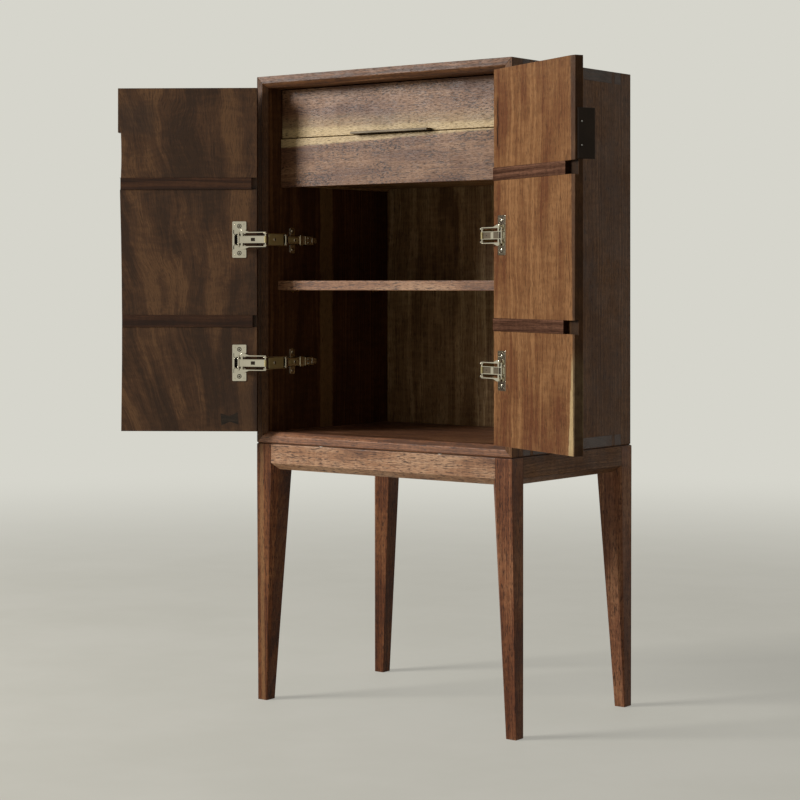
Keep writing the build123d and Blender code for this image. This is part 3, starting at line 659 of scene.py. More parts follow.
@dataclass(frozen=True)
class Metal:
    """A plated, blackened or bare metal, rubbed where hands and tools reach it."""

    colour: Rgb
    tarnish: Rgb
    roughness: float
    metallic: float = 1.0
    mottle: float = 0.35
    specular: float = 0.5

    def make(self, effects: Effects, name: str) -> bpy.types.Material:
        """Make the material.

        Args:
            effects: The shared groups.
            name: The material's name.

        Returns:
            The material.
        """
        sheet = MaterialSheet(name)
        wear = sheet.use(effects.wear, Vector=Run("xyz").vector(sheet))
        spread = wear["Rub"] * 0.7 + wear["Dust"] * 0.3
        colour = sheet.mix(spread * self.mottle, self.colour, self.tarnish)
        roughness = wear["Rub"] * 0.06 + wear["Scratches"] * 0.06 + self.roughness
        sheet.shader.inputs["Metallic"].default_value = self.metallic
        return sheet.finish(colour, roughness, self.specular, wear["Scratches"], 0.12, 0.00005)


WALNUT = Timber(
    "walnut", tones=tones((76, 46, 26), (108, 70, 41), (138, 96, 64), (44, 26, 17)), pores=0.6, flecks=0.7,
    specular=0.3,
)
PALE_WALNUT = Timber(
    "pale walnut", tones=tones((86, 52, 31), (123, 78, 49), (156, 108, 75), (50, 30, 20)), pores=0.6,
    flecks=0.7, specular=0.45,
)
# Lighter and pinker than the side walnut: the tone partly paints the sheen that the aprons and the shelf's
# front edge catch.
APRON_WALNUT_PAINTED_SHEEN = Timber(
    "apron walnut", tones=tones((120, 82, 58), (159, 116, 84), (186, 147, 115), (58, 36, 26)),
    ring_width=4.0, waviness=12.0, pores=0.75, flecks=0.85, rings=0.25, fibre=0.2, specular=0.33,
    roughness=0.46,
)
DOOR_WALNUT = Timber(
    "crotch walnut", tones=tones((59, 41, 28), (82, 57, 39), (108, 78, 53), (36, 24, 17)), ring_width=14.0,
    waviness=110.0, fan=Fan(20.0, 840.0, 800.0, 55.0), ripple=0.14, pith_depth=120.0, pores=0.4,
    flecks=0.35, rings=0.2, fibre=0.2,
)
WARM_WALNUT = Timber(
    "warm walnut", tones=tones((101, 62, 40), (121, 83, 53), (144, 104, 69), (52, 31, 18)), ring_width=8.0,
    waviness=34.0, fan=Fan(swirl=26.0), pith_depth=160.0, pores=0.4, flecks=0.45, rings=0.26,
    fibre=0.24, roughness=0.45, specular=0.05,
)
LEG_WALNUT = Timber(
    "leg walnut", tones=tones((88, 48, 28), (120, 73, 45), (150, 102, 69), (46, 24, 15)), ring_width=3.5,
    waviness=10.0, pores=0.65, flecks=0.8, rings=0.3, fibre=0.25,
)
RED_WALNUT = replace(
    LEG_WALNUT, name="red walnut", tones=tones((73, 39, 21), (101, 58, 32), (128, 83, 51), (38, 20, 12)),
    specular=0.16,
)
# A brighter copy of the leg walnut for the rear right leg: painted light.
LEG_WALNUT_PAINTED_LIGHT = replace(
    LEG_WALNUT, name="bright leg walnut",
    tones=tones((96, 57, 37), (131, 85, 58), (163, 117, 83), (50, 28, 18)),
)
# The rear left leg's darker red walnut is partly painted shade.
LEG_TIMBERS = {
    "front_left": RED_WALNUT,
    "front_right": LEG_WALNUT,
    "rear_left": RED_WALNUT,
    "rear_right": LEG_WALNUT_PAINTED_LIGHT,
}
# Lighter and pinker than the side walnut: the tone partly paints the sheen that the drawer fronts catch.
FRONT_WALNUT_PAINTED_SHEEN = Timber(
    "drawer walnut", tones=tones((100, 68, 50), (123, 88, 62), (144, 109, 81), (50, 30, 21)),
    ring_width=6.0, waviness=24.0, pores=0.8, flecks=0.75, burr=0.95, rings=0.2, fibre=0.28, specular=0.28,
    roughness=0.46,
)
SIDE_WALNUT = Timber(
    "side walnut", tones=tones((84, 54, 32), (112, 76, 48), (138, 100, 68), (48, 29, 18)), ring_width=3.0,
    waviness=12.0, pores=0.7, flecks=0.75, specular=0.15,
)
# A darker copy of the side walnut for the left side: painted shade for its inner face, which lies in the
# case's shadow.
SIDE_WALNUT_PAINTED_SHADE = replace(
    SIDE_WALNUT, name="dark side walnut",
    tones=tones((62, 38, 21), (86, 56, 33), (108, 76, 48), (38, 23, 14)), pores=0.6, flecks=0.5,
)
# Lighter than the walnut outside: painted light on the shaded inside of the case, the back's inner face, the
# runners and the drawers.
INNER_WALNUT_PAINTED_LIGHT = Timber(
    "inner walnut", tones=tones((104, 76, 48), (152, 122, 84), (190, 162, 120), (70, 48, 30)),
    ring_width=9.0, waviness=22.0, pores=0.4, flecks=0.5, specular=0.15,
)
SAPWOOD = paint(196, 172, 128)
"""Pale wood from just under the bark."""


class Plate(Enum):
    """The metal finishes."""

    BRIGHT = "bright nickel"
    # Olive and nearly matte: its colour paints the brown reflection that the hinges' nickel shows in the
    # case's shade.
    TONED = "toned nickel"
    # Browned steel for the drawer blade, and painted shade on the right hinge links.
    BROWNED = "browned steel"
    # Blackened steel for the pull plate and the drawer screws, and painted shade in the hinges' cups, slots,
    # grooves and screw recesses.
    BLACK = "blackened steel"
    STEEL = "bare steel"
    BRASS = "brass"


METALS = {
    Plate.BRIGHT: Metal(paint(206, 199, 180), paint(140, 132, 112), 0.12),
    Plate.TONED: Metal(paint(172, 158, 110), paint(120, 108, 74), 0.4, metallic=0.2),
    Plate.BROWNED: Metal(paint(96, 84, 66), paint(58, 48, 36), 0.4, metallic=0.3, mottle=0.6, specular=0.3),
    Plate.BLACK: Metal(paint(42, 31, 22), paint(28, 20, 14), 0.4, metallic=0.3, mottle=0.8, specular=0.15),
    Plate.STEEL: Metal(paint(190, 188, 182), paint(132, 128, 120), 0.3),
    Plate.BRASS: Metal(paint(196, 164, 98), paint(136, 108, 62), 0.32),
}


class Coat(IntEnum):
    """Which of a hinge piece's materials a face wears."""

    BRIGHT = 0
    # Olive faces paint a reflection.
    TONED = 1
    # Black faces paint shade.
    BLACK = 2
    # Browned faces paint shade on the right links.
    BROWNED = 3


class Workshop:
    """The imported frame, the shared finishes and the ways that pieces are handed in."""

    def __init__(self) -> None:
        """Load the frame and make the finishes."""
        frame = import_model()
        self.nodes: dict[str, bpy.types.Object] = frame["nodes"]
        record = frame["record"]
        self.slots = {part["node"]: part["material_slot"] for part in record["subparts"]}
        bodies = record["behaviour"]["bodies"]
        self.bodies = {node: body for body, members in bodies.items() for node in members}
        self.effects = Effects()
        self.metals = {plate: metal.make(self.effects, plate.value) for plate, metal in METALS.items()}

    def hand_in(self, mesh: bmesh.types.BMesh, name: str, nodes: Sequence[str],
                finishes: Sequence[bpy.types.Material]) -> bpy.types.Object:
        """Turn a finished bmesh into a piece that stands for frame nodes.

        Args:
            mesh: The bmesh, in metres, which is freed.
            name: The piece's name.
            nodes: The nodes that it replaces. It rides on the first one's body.
            finishes: Its materials.

        Returns:
            The piece.
        """
        data = bpy.data.meshes.new(name)
        mesh.to_mesh(data)
        mesh.free()
        for finish in finishes:
            data.materials.append(finish)
        piece = bpy.data.objects.new(name, data)
        bpy.context.scene.collection.objects.link(piece)
        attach(piece, self.bodies[nodes[0]])
        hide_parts(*nodes)
        log.info("%s: %d faces on %s", name, len(data.polygons), self.bodies[nodes[0]])
        return piece

    def dress(self, node: str, finish: bpy.types.Material) -> None:
        """Give a frame node's own mesh a finish.

        Args:
            node: The frame node.
            finish: The material.
        """
        data = self.nodes[node].data
        data.materials.clear()
        data.materials.append(finish)
        log.info("%s keeps its own mesh", node)

    def soften(self, node: str, arris: float, finish: bpy.types.Material) -> bpy.types.Object:
        """Make a piece from a node, with its long edges eased.

        Args:
            node: The frame node.
            arris: Width of the eased edge in millimetres.
            finish: The material.

        Returns:
            The piece.
        """
        mesh = bmesh.new()
        mesh.from_mesh(self.nodes[node].data)
        bmesh.ops.remove_doubles(mesh, verts=mesh.verts, dist=0.01 * MILLIMETRE)
        bmesh.ops.dissolve_limit(mesh, angle_limit=radians(0.4), verts=mesh.verts, edges=mesh.edges)
        long_edge = 7.0 * MILLIMETRE
        sharp = [
            edge for edge in mesh.edges
            if len(edge.link_faces) == 2 and edge.calc_length() > long_edge
            and edge.calc_face_angle() > radians(20)
        ]
        bmesh.ops.bevel(
            mesh, geom=sharp, offset=arris * MILLIMETRE, offset_type="OFFSET", segments=2, profile=0.5,
            affect="EDGES", clamp_overlap=True, material=-1,
        )
        for face in mesh.faces:
            face.smooth = False
        return self.hand_in(mesh, f"{node}_board", [node], [finish])


# Boards


@dataclass(frozen=True)
class Board:
    """A wooden piece that keeps its frame node's shape, with eased edges."""

    node: str
    timber: Timber
    run: Run
    seed: float
    arris: float = 0.5
    bands: tuple[Band | BarkAndPaintedShade, ...] = ()
    rear: Timber | None = None

    def build(self, shop: Workshop) -> None:
        """Ease the board's edges and dress it, with its rear face in a timber of its own where it has one.

        Args:
            shop: The workshop.
        """
        finish = self.timber.make(shop.effects, self.node, self.run, self.seed, self.bands)
        piece = shop.soften(self.node, self.arris, finish)
        if self.rear:
            rear = self.rear.make(shop.effects, f"{self.node} rear", self.run, self.seed, ())
            piece.data.materials.append(rear)
            for face in piece.data.polygons:
                face.material_index = int(face.normal.y > 0.9)


UPRIGHT_FACING_FRONT = Run("xyz")
UPRIGHT_FACING_SIDE = Run("yxz")
FLAT_ALONG_WIDTH = Run("yzx")
STANDING_ALONG_WIDTH = Run("zyx")
STANDING_ALONG_DEPTH = Run("zxy")


@dataclass(frozen=True)
class Case:
    """The four mitred and pinned boards, the back, the shelf and the drawer runners."""

    side_stripe: Band = Band(
        -15.5, 17.0, 400.0, 1300.0, paint(150, 124, 84), strength=0.6, soft=5.0, wander=8.0
    )
    # Painted shade over the bottom board's inside, behind its front edge.
    bottom_shade: Band = Band(
        10.0, 190.0, -400.0, 400.0, paint(44, 26, 15), strength=0.38, soft=6.0, wander=0.0
    )
    # Painted shade laid thinly over the whole shelf.
    shelf_shade: Band = Band(0.0, 300.0, -400.0, 400.0, paint(60, 36, 22), strength=0.17, wander=0.0)

    def build(self, shop: Workshop) -> None:
        """Build every board of the case.

        Args:
            shop: The workshop.
        """
        boards = [
            Board("top_panel", WALNUT, FLAT_ALONG_WIDTH, 1.0),
            Board("bottom_panel", PALE_WALNUT, FLAT_ALONG_WIDTH, 2.0, bands=(self.bottom_shade,)),
            Board("left_side_panel", SIDE_WALNUT_PAINTED_SHADE, UPRIGHT_FACING_SIDE, 3.0, bands=(self.side_stripe,)),
            Board("right_side_panel", SIDE_WALNUT, UPRIGHT_FACING_SIDE, 4.0),
            Board("back_panel", INNER_WALNUT_PAINTED_LIGHT, UPRIGHT_FACING_FRONT, 5.0, rear=WALNUT),
            Board("shelf", APRON_WALNUT_PAINTED_SHEEN, FLAT_ALONG_WIDTH, 6.0, bands=(self.shelf_shade,)),
        ]
        for number, side in enumerate(("left", "right")):
            for offset, level in enumerate(("lower", "upper")):
                node = f"{side}_{level}_runner"
                boards.append(Board(node, INNER_WALNUT_PAINTED_LIGHT, STANDING_ALONG_DEPTH, 7.0 + 2 * number + offset, 0.8))
        for board in boards:
            board.build(shop)
        shop.dress("shelf_pins", shop.metals[Plate.BRASS])


@dataclass(frozen=True)
class Stand:
    """Four tapered legs and four aprons."""

    arris: float = 0.9
    first_seed: float = 20.0
    leg_streak: Band = Band(
        -290.0, 3.0, -40.0, 520.0, paint(150, 112, 74), strength=0.5, lean=0.004, wander=7.0
    )
    # Dark bands at the top of the legs and along the aprons paint the shade in the groove between the stand
    # and the case.
    leg_groove: Band = Band(0.0, 400.0, 497.6, 520.0, paint(30, 18, 12), wander=0.0, fade=0.5)
    apron_groove: Band = Band(499.0, 1.0, -400.0, 400.0, paint(30, 18, 12), soft=0.6, wander=0.0)

    def build(self, shop: Workshop) -> None:
        """Build the legs and aprons and dress the plates that hold the case.

        Args:
            shop: The workshop.
        """
        boards = []
        for corner, timber in LEG_TIMBERS.items():
            bands = (self.leg_streak,) if corner == "front_left" else ()
            boards.append((f"{corner}_leg", timber, UPRIGHT_FACING_FRONT, (*bands, self.leg_groove)))
        for side, timber, run in (
            ("front", APRON_WALNUT_PAINTED_SHEEN, STANDING_ALONG_WIDTH),
            ("rear", APRON_WALNUT_PAINTED_SHEEN, STANDING_ALONG_WIDTH),
            ("left", SIDE_WALNUT, STANDING_ALONG_DEPTH),
            ("right", SIDE_WALNUT, STANDING_ALONG_DEPTH),
        ):
            boards.append((f"{side}_apron", timber, run, (self.apron_groove,)))
        for number, (node, timber, run, bands) in enumerate(boards):
            Board(node, timber, run, self.first_seed + number, self.arris, bands).build(shop)
        shop.dress("stand_fasteners", shop.metals[Plate.STEEL])


@dataclass(frozen=True)
class Drawers:
    """Two side-hung drawers with a band of sapwood along the seam between their fronts."""

    upper_bands: tuple[Band, ...] = (
        Band(1100.0, 8.0, -330.0, 330.0, SAPWOOD, strength=0.36, soft=28.0, lean=-0.014, wander=14.0),
        Band(1093.0, 8.0, -330.0, 330.0, SAPWOOD, strength=0.9, soft=9.0, lean=-0.012, wander=12.0),
    )
    lower_bands: tuple[Band, ...] = (
        Band(1089.5, 7.0, -330.0, 330.0, SAPWOOD, strength=0.9, soft=5.0, lean=0.028),
    )

    def build(self, shop: Workshop) -> None:
        """Build both drawers and the steel blade between them.

        Args:
            shop: The workshop.
        """
        bands = {"lower": self.lower_bands, "upper": self.upper_bands}
        inner_boards = (
            ("left_side", STANDING_ALONG_DEPTH, 0.8),
            ("right_side", STANDING_ALONG_DEPTH, 0.8),
            ("back", STANDING_ALONG_WIDTH, 0.8),
            ("bottom", FLAT_ALONG_WIDTH, 0.4),
        )
        for level, seed in (("lower", 40.0), ("upper", 50.0)):
            front = f"{level}_drawer_front"
            Board(front, FRONT_WALNUT_PAINTED_SHEEN, STANDING_ALONG_WIDTH, seed, 0.6, bands[level]).build(shop)
            for number, (part, run, arris) in enumerate(inner_boards):
                Board(f"{level}_drawer_{part}", INNER_WALNUT_PAINTED_LIGHT, run, seed + 1 + number, arris).build(shop)
        shop.soften("drawer_pull", 0.5, shop.metals[Plate.BROWNED])
        shop.dress("drawer_pull_screws", shop.metals[Plate.BLACK])


# Doors


@dataclass(frozen=True)
class Leaf:
    """Where one open door stands. Inset is measured in from a side of the case, depth back from its front."""

    name: str
    sense: int
    opening: float
    cup_setback: float
    meeting: float
    half_width: float = 300.0
    half_depth: float = 200.0
    board: float = 22.0
    hinge_edge: float = 24.0
    setback: float = 8.4
    thickness: float = 18.0
    axis_offset: float = 8.6
    bottom: float = 523.0

    @property
    def width(self) -> float:
        """From the hinge edge to the free edge."""
        return self.half_width - self.hinge_edge - self.meeting

    def case_frame(self, inset: float, depth: float, height: float, angle: float = 0.0) -> Matrix:
        """Frame on the case: X inwards, Y backwards, Z up, turned about Z by an angle in degrees.

        Args:
            inset: From the side of the case.
            depth: Back from its front.
            height: Above the floor.
            angle: Turn from the inset direction towards the depth direction.

        Returns:
            A matrix from local millimetres to metres in the frame.
        """
        case = Matrix.Translation((-self.sense * self.half_width, -self.half_depth, 0.0))
        mirror = Matrix.Diagonal((self.sense, 1.0, 1.0, 1.0))
        place = Matrix.Translation((inset, depth, height))
        return Matrix.Scale(MILLIMETRE, 4) @ case @ mirror @ place @ Matrix.Rotation(radians(angle), 4, "Z")

    def door_frame(self, along: float, through: float, height: float, angle: float = 0.0) -> Matrix:
        """Frame on the door: X from the hinge edge, Y from the outer face to the inner one, Z up.

        Args:
            along: From the hinge edge.
            through: From the outer face.
            height: Above the floor.
            angle: Turn from X towards Y, in degrees.

        Returns:
            A matrix from local millimetres to metres in the frame.
        """
        axis_inset = self.hinge_edge - self.axis_offset
        axis = self.case_frame(axis_inset, self.setback - self.axis_offset, 0.0, -self.opening)
        place = Matrix.Translation((self.axis_offset + along, self.axis_offset + through, height))
        return axis @ place @ Matrix.Rotation(radians(angle), 4, "Z")

    def run(self, order: str) -> Run:
        """Grain run in the door's own millimetres. On the right door Y is turned about.

        Args:
            order: The frame's axes across, through and along the grain.

        Returns:
            The run.
        """
        matrix = self.door_frame(0.0, 0.0, 0.0)
        along = matrix.to_3x3() @ Vector((1.0, 0.0, 0.0))
        return Run(order, tuple(matrix.translation), atan2(along.y, along.x))


LEFT = Leaf("left", 1, 144.5, 34.0, 6.9)
RIGHT = Leaf("right", -1, 154.0, 29.5, 4.4)


@dataclass(frozen=True)
class Door:
    """A door board with two dovetailed battens."""

    leaf: Leaf
    timber: Timber
    batten_timber: Timber
    seed: float
    bands: tuple[Band | BarkAndPaintedShade, ...] = ()

    def build(self, shop: Workshop) -> None:
        """Build the board and the battens.

        Args:
            shop: The workshop.
        """
        side = self.leaf.name
        Board(f"{side}_door_panel", self.timber, self.leaf.run("xyz"), self.seed, 0.5, self.bands).build(shop)
        for number, level in enumerate(("lower", "upper")):
            node = f"{side}_{level}_batten"
            Board(node, self.batten_timber, self.leaf.run("zyx"), self.seed + 1 + number, 0.3).build(shop)


LEFT_BATTEN = Timber(
    "batten walnut", tones=tones((42, 24, 13), (60, 36, 22), (80, 52, 34), (32, 19, 12)), ring_width=9.0,
    pith_depth=40.0, waviness=16.0, pores=0.35, flecks=0.35,
)
RIGHT_BATTEN = Timber(
    "pink batten walnut", tones=tones((64, 41, 30), (88, 60, 46), (112, 79, 62), (38, 23, 16)),
    ring_width=6.0, pith_depth=50.0, waviness=14.0, pores=0.4, flecks=0.4, roughness=0.4, specular=0.02,
)
BUTTERFLY = Timber(
    "key walnut", tones=tones((34, 27, 20), (47, 38, 30), (62, 51, 40), (24, 17, 13)),
    pores=0.4, flecks=0.4,
)


@dataclass(frozen=True)
class Doors:
    """Both doors, the butterfly key and the steel pull plate."""

    right_bands: tuple[Band | BarkAndPaintedShade, ...] = (
        Band(229.0, 5.5, 490.0, 705.0, SAPWOOD, soft=5.0, lean=0.064, wander=8.0, fade=50.0),
        Band(14.5, 1.6, 1036.0, 1143.0, paint(26, 15, 9), strength=0.95, soft=0.8, wander=7.0, fade=20.0),
        BarkAndPaintedShade(246.0, 18.0, paint(62, 46, 36)),
        # Painted shade, laid with the natural-edge mask over the board's inside by the free edge, where the
        # batten slots show it.
        BarkAndPaintedShade(232.0, 14.0, paint(32, 27, 23), strength=0.95, soft=0.5, stop=270.6),
    )
    left_bands: tuple[Band, ...] = (
        Band(236.0, 26.0, 1080.0, 1170.0, paint(48, 38, 32), 0.45, soft=26.0, wander=20.0, fade=30.0),
        Band(30.0, 26.0, 500.0, 640.0, paint(52, 38, 30), 0.45, soft=20.0, wander=20.0, fade=50.0),
    )

    def build(self, shop: Workshop) -> None:
        """Build the doors and what is let into them.

        Args:
            shop: The workshop.
        """
        Door(LEFT, DOOR_WALNUT, LEFT_BATTEN, 60.0, self.left_bands).build(shop)
        Door(RIGHT, WARM_WALNUT, RIGHT_BATTEN, 70.0, self.right_bands).build(shop)
        Board("butterfly_key", BUTTERFLY, LEFT.run("zyx"), 80.0, 0.2).build(shop)
        shop.soften("pull_plate", 0.4, shop.metals[Plate.BLACK])


# Hardware


class Facing(Enum):
    """Which local axis an outline is pushed along. The outline's own two axes are the others in order."""

    X = Matrix(((0, 0, 1, 0), (1, 0, 0, 0), (0, 1, 0, 0), (0, 0, 0, 1)))
    Y = Matrix(((1, 0, 0, 0), (0, 0, 1, 0), (0, 1, 0, 0), (0, 0, 0, 1)))
    Z = Matrix.Identity(4)


def rounded(width: float, height: float, radius: float, centre: Point = (0.0, 0.0)) -> list[Point]:
    """Outline of a rectangle with round corners.

    Args:
        width: Along the first axis.
        height: Along the second axis.
        radius: Of its corners.
        centre: Its middle.

    Returns:
        The outline, anticlockwise.
    """
    steps = 4
    points = []
    for quarter, (x, y) in enumerate(((1, 1), (-1, 1), (-1, -1), (1, -1))):
        for step in range(steps + 1):
            angle = (quarter + step / steps) * pi / 2
            points.append((
                centre[0] + x * (width / 2 - radius) + radius * cos(angle),
                centre[1] + y * (height / 2 - radius) + radius * sin(angle),
            ))
    return points


def bar(length: float, radius: float, waist: float) -> list[Point]:
    """Outline of a bar with round ends on the first axis, from the origin, drawn in at its waist.

    Args:
        length: Between the centres of its ends.
        radius: Of its ends.
        waist: Half its width in the middle.

    Returns:
        The outline, anticlockwise.
    """
    steps = 10
    points = [(length / 2, -waist)]
    angles = [step * pi / steps for step in range(steps + 1)]
    points += [(length + radius * sin(angle), -radius * cos(angle)) for angle in angles]
    points.append((length / 2, waist))
    points += [(-radius * sin(angle), radius * cos(angle)) for angle in angles]
    return points


def ring(radius: float, steps: int = 24) -> list[Point]:
    """Points round a circle."""
    angles = [2 * pi * step / steps for step in range(steps)]
    return [(radius * cos(angle), radius * sin(angle)) for angle in angles]


@dataclass(frozen=True)
class Screw:
    """A pan-headed screw with a cross recess, that stands on the origin of its outline's axes."""

    radius: float
    head: float
    shank: float
    length: float
    turned: float = 0.3

    def cross(self) -> list[Point]:
        """Outline of the recess.

        Returns:
            The outline.
        """
        arm = 0.62 * self.radius
        slot = 0.24 * self.radius
        corners = [(slot, slot), (slot, arm), (-slot, arm)]
        return [
            tuple(Matrix.Rotation(self.turned + quarter * pi / 2, 2) @ Vector(corner))
            for quarter in range(4) for corner in corners
        ]

    def rings(self) -> list[tuple[list[Point], float]]:
        """Outlines and heights, from the floor of the recess over the head to the tip.

        Returns:
            The outlines with their heights.
        """
        radius, head = self.radius, self.head
        return [
            (self.cross(), head * 0.15),
            (self.cross(), head * 0.92),
            (ring(radius * 0.72), head),
            (ring(radius * 0.93), head * 0.72),
            (ring(radius), head * 0.3),
            (ring(radius), 0.0),
            (ring(self.shank), 0.0),
            (ring(self.shank), 0.8 * self.shank - self.length),
            (ring(0.15), -self.length),
        ]


class Mould:
    """A metal piece in the making: closed shapes in local millimetres, joined in one mesh."""

    def __init__(self) -> None:
        """Start with nothing."""
        self.mesh = bmesh.new()

    def place(self, verts: Sequence, facing: Facing, finish: int, soften: float) -> None:
        """Soften a new shape's corners, give it a finish and turn it to its facing.

        Args:
            verts: All the shape's vertices.
            facing: The axis that it was pushed along.
            finish: Number of its material.
            soften: Width of its eased edges, or 0.
        """
        members = set(verts)
        others = set(self.mesh.verts) - members
        for face in self.mesh.faces:
            if face.verts[0] in members:
                face.material_index = finish
        if soften:
            edges = [
                edge for edge in self.mesh.edges
                if edge.verts[0] in members and len(edge.link_faces) == 2
                and edge.calc_face_angle() > radians(35)
            ]
            bmesh.ops.bevel(
                self.mesh, geom=edges, offset=soften, offset_type="OFFSET", segments=2, profile=0.5,
                affect="EDGES", clamp_overlap=True, material=-1,
            )
        shape = [vert for vert in self.mesh.verts if vert not in others]
        bmesh.ops.transform(self.mesh, matrix=facing.value, verts=shape)

    def loop(self, outline: Sequence[Point], level: float) -> tuple[list, list]:
        """The vertices and edges of a closed outline at a level.

        Args:
            outline: The outline.
            level: Where it lies on the axis that it is pushed along.

        Returns:
            The vertices and the edges.
        """
        verts = [self.mesh.verts.new((x, y, level)) for x, y in outline]
        edges = [self.mesh.edges.new((verts[i - 1], verts[i])) for i in range(len(verts))]
        return verts, edges

    def slab(self, outline: Sequence[Point], low: float, high: float, facing: Facing, soften: float = 0.25,
             finish: int = 0) -> None:
        """Push an outline along an axis.

        Args:
            outline: The outline on the other two axes.
            low: Where it starts.
            high: Where it ends.
            facing: The axis.
            soften: Width of its eased edges.
            finish: Number of its material.
        """
        verts = [self.mesh.verts.new((x, y, low)) for x, y in outline]
        face = self.mesh.faces.new(verts)
        result = bmesh.ops.extrude_face_region(self.mesh, geom=[face], use_keep_orig=True)
        top = [item for item in result["geom"] if isinstance(item, bmesh.types.BMVert)]
        bmesh.ops.translate(self.mesh, verts=top, vec=(0.0, 0.0, high - low))
        self.place(verts + top, facing, finish, soften)

    def pair(self, outline: Sequence[Point], near: float, far: float, facing: Facing,
             soften: float = 0.25) -> None:
        """Two slabs that mirror each other on an axis, from near to far out from its middle."""
        self.slab(outline, near, far, facing, soften)
        self.slab(outline, -far, -near, facing, soften)

    def stripe(self, width: float, height: float, centre: Point, level: float, finish: int) -> None:
        """A thin strip of another finish, on a face that looks along Y at a level."""
        outline = rounded(width, height, min(width, height) / 3, centre)
        self.slab(outline, level, level + 0.06, Facing.Y, 0.0, finish)

    def frame(self, outline: Sequence[Point], opening: Sequence[Point], low: float, high: float,
              facing: Facing, finish: int = 0) -> None:
        """Push an outline with an opening along an axis. Both have as many corners.

        Args:
            outline: The outer outline.
            opening: The opening's outline.
            low: Where it starts.
            high: Where it ends.
            facing: The axis.
            finish: Number of its material.
        """
        loops = [
            self.loop(shape, level)
            for shape, level in ((outline, low), (outline, high), (opening, high), (opening, low))
        ]
        for (_, first), (_, second) in zip(loops, loops[1:] + loops[:1]):
            bmesh.ops.bridge_loops(self.mesh, edges=first + second)
        self.place([vert for verts, _ in loops for vert in verts], facing, finish, 0.0)

    def turn(self, profile: Sequence[Point], centre: Point, facing: Facing, finish: int = 0,
             steps: int = 32) -> None:
        """Spin a profile of radius and level about an axis.

        Args:
            profile: Radii and levels. It starts and ends on the axis or closes on itself.
            centre: Where the axis stands, on the other two axes.
            facing: The axis.
            finish: Number of its material.
            steps: Steps of the turn.
        """
        verts = [self.mesh.verts.new((centre[0] + radius, centre[1], level)) for radius, level in profile]
        closed = profile[0][0] > 0 and profile[-1][0] > 0
        pairs = zip(verts, verts[1:] + verts[:1] if closed else verts[1:])
        edges = [self.mesh.edges.new(pair) for pair in pairs]
        old = set(self.mesh.verts) - set(verts)
        bmesh.ops.spin(
            self.mesh, geom=verts + edges, cent=(*centre, 0.0), axis=(0.0, 0.0, 1.0), angle=2 * pi,
            steps=steps, use_merge=True, use_duplicate=False,
        )
        spun = [vert for vert in self.mesh.verts if vert not in old]
        bmesh.ops.remove_doubles(self.mesh, verts=spun, dist=0.001)
        self.place([vert for vert in self.mesh.verts if vert not in old], facing, finish, 0.0)

    def rod(self, radius: float, low: float, high: float, facing: Facing, centre: Point = (0.0, 0.0),
            finish: int = 0) -> None:
        """A round pin with eased ends.

        Args:
            radius: Of the pin.
            low: Where it starts.
            high: Where it ends.
            facing: Its axis.
            centre: Where the axis stands, on the other two axes.
            finish: Number of its material.
        """
        ease = min(0.3, radius / 4)
        inner = radius - ease
        profile = [
            (0.0, low), (inner, low), (radius, low + ease), (radius, high - ease), (inner, high), (0.0, high),
        ]
        self.turn(profile, centre, facing, finish, 20)

    def screw(self, screw: Screw, level: float, facing: Facing, centre: Point = (0.0, 0.0),
              recess: int = 1) -> None:
        """Drive a screw.

        Args:
            screw: The screw.
            level: Where its head sits, on the axis.
            facing: The axis.
            centre: Of the screw, on the other two axes.
            recess: Number of the material in its cross.
        """
        loops = [
            self.loop([(centre[0] + x, centre[1] + y) for x, y in outline], level + height)
            for outline, height in screw.rings()
        ]
        for (_, first), (_, second) in zip(loops, loops[1:]):
            bmesh.ops.bridge_loops(self.mesh, edges=first + second)
        floor = self.mesh.faces.new(loops[0][0])
        self.mesh.faces.new(loops[-1][0])
        self.place([vert for verts, _ in loops for vert in verts], facing, 0, 0.0)
        floor.material_index = recess

    def carry(self, matrix: Matrix, into: "Mould | None" = None) -> bmesh.types.BMesh:
        """Carry the shapes to their place, turn their faces outwards and hand over the mesh.

        Args:
            matrix: From local millimetres to metres in the frame.
            into: A mould that takes the shapes, where several places share a piece.

        Returns:
            The mesh that now holds them.
        """
        bmesh.ops.transform(self.mesh, matrix=matrix, verts=self.mesh.verts)
        bmesh.ops.recalc_face_normals(self.mesh, faces=self.mesh.faces)
        if into is None:
            return self.mesh
        data = bpy.data.meshes.new("carried")
        self.mesh.to_mesh(data)
        self.mesh.free()
        into.mesh.from_mesh(data)
        bpy.data.meshes.remove(data)
        return into.mesh


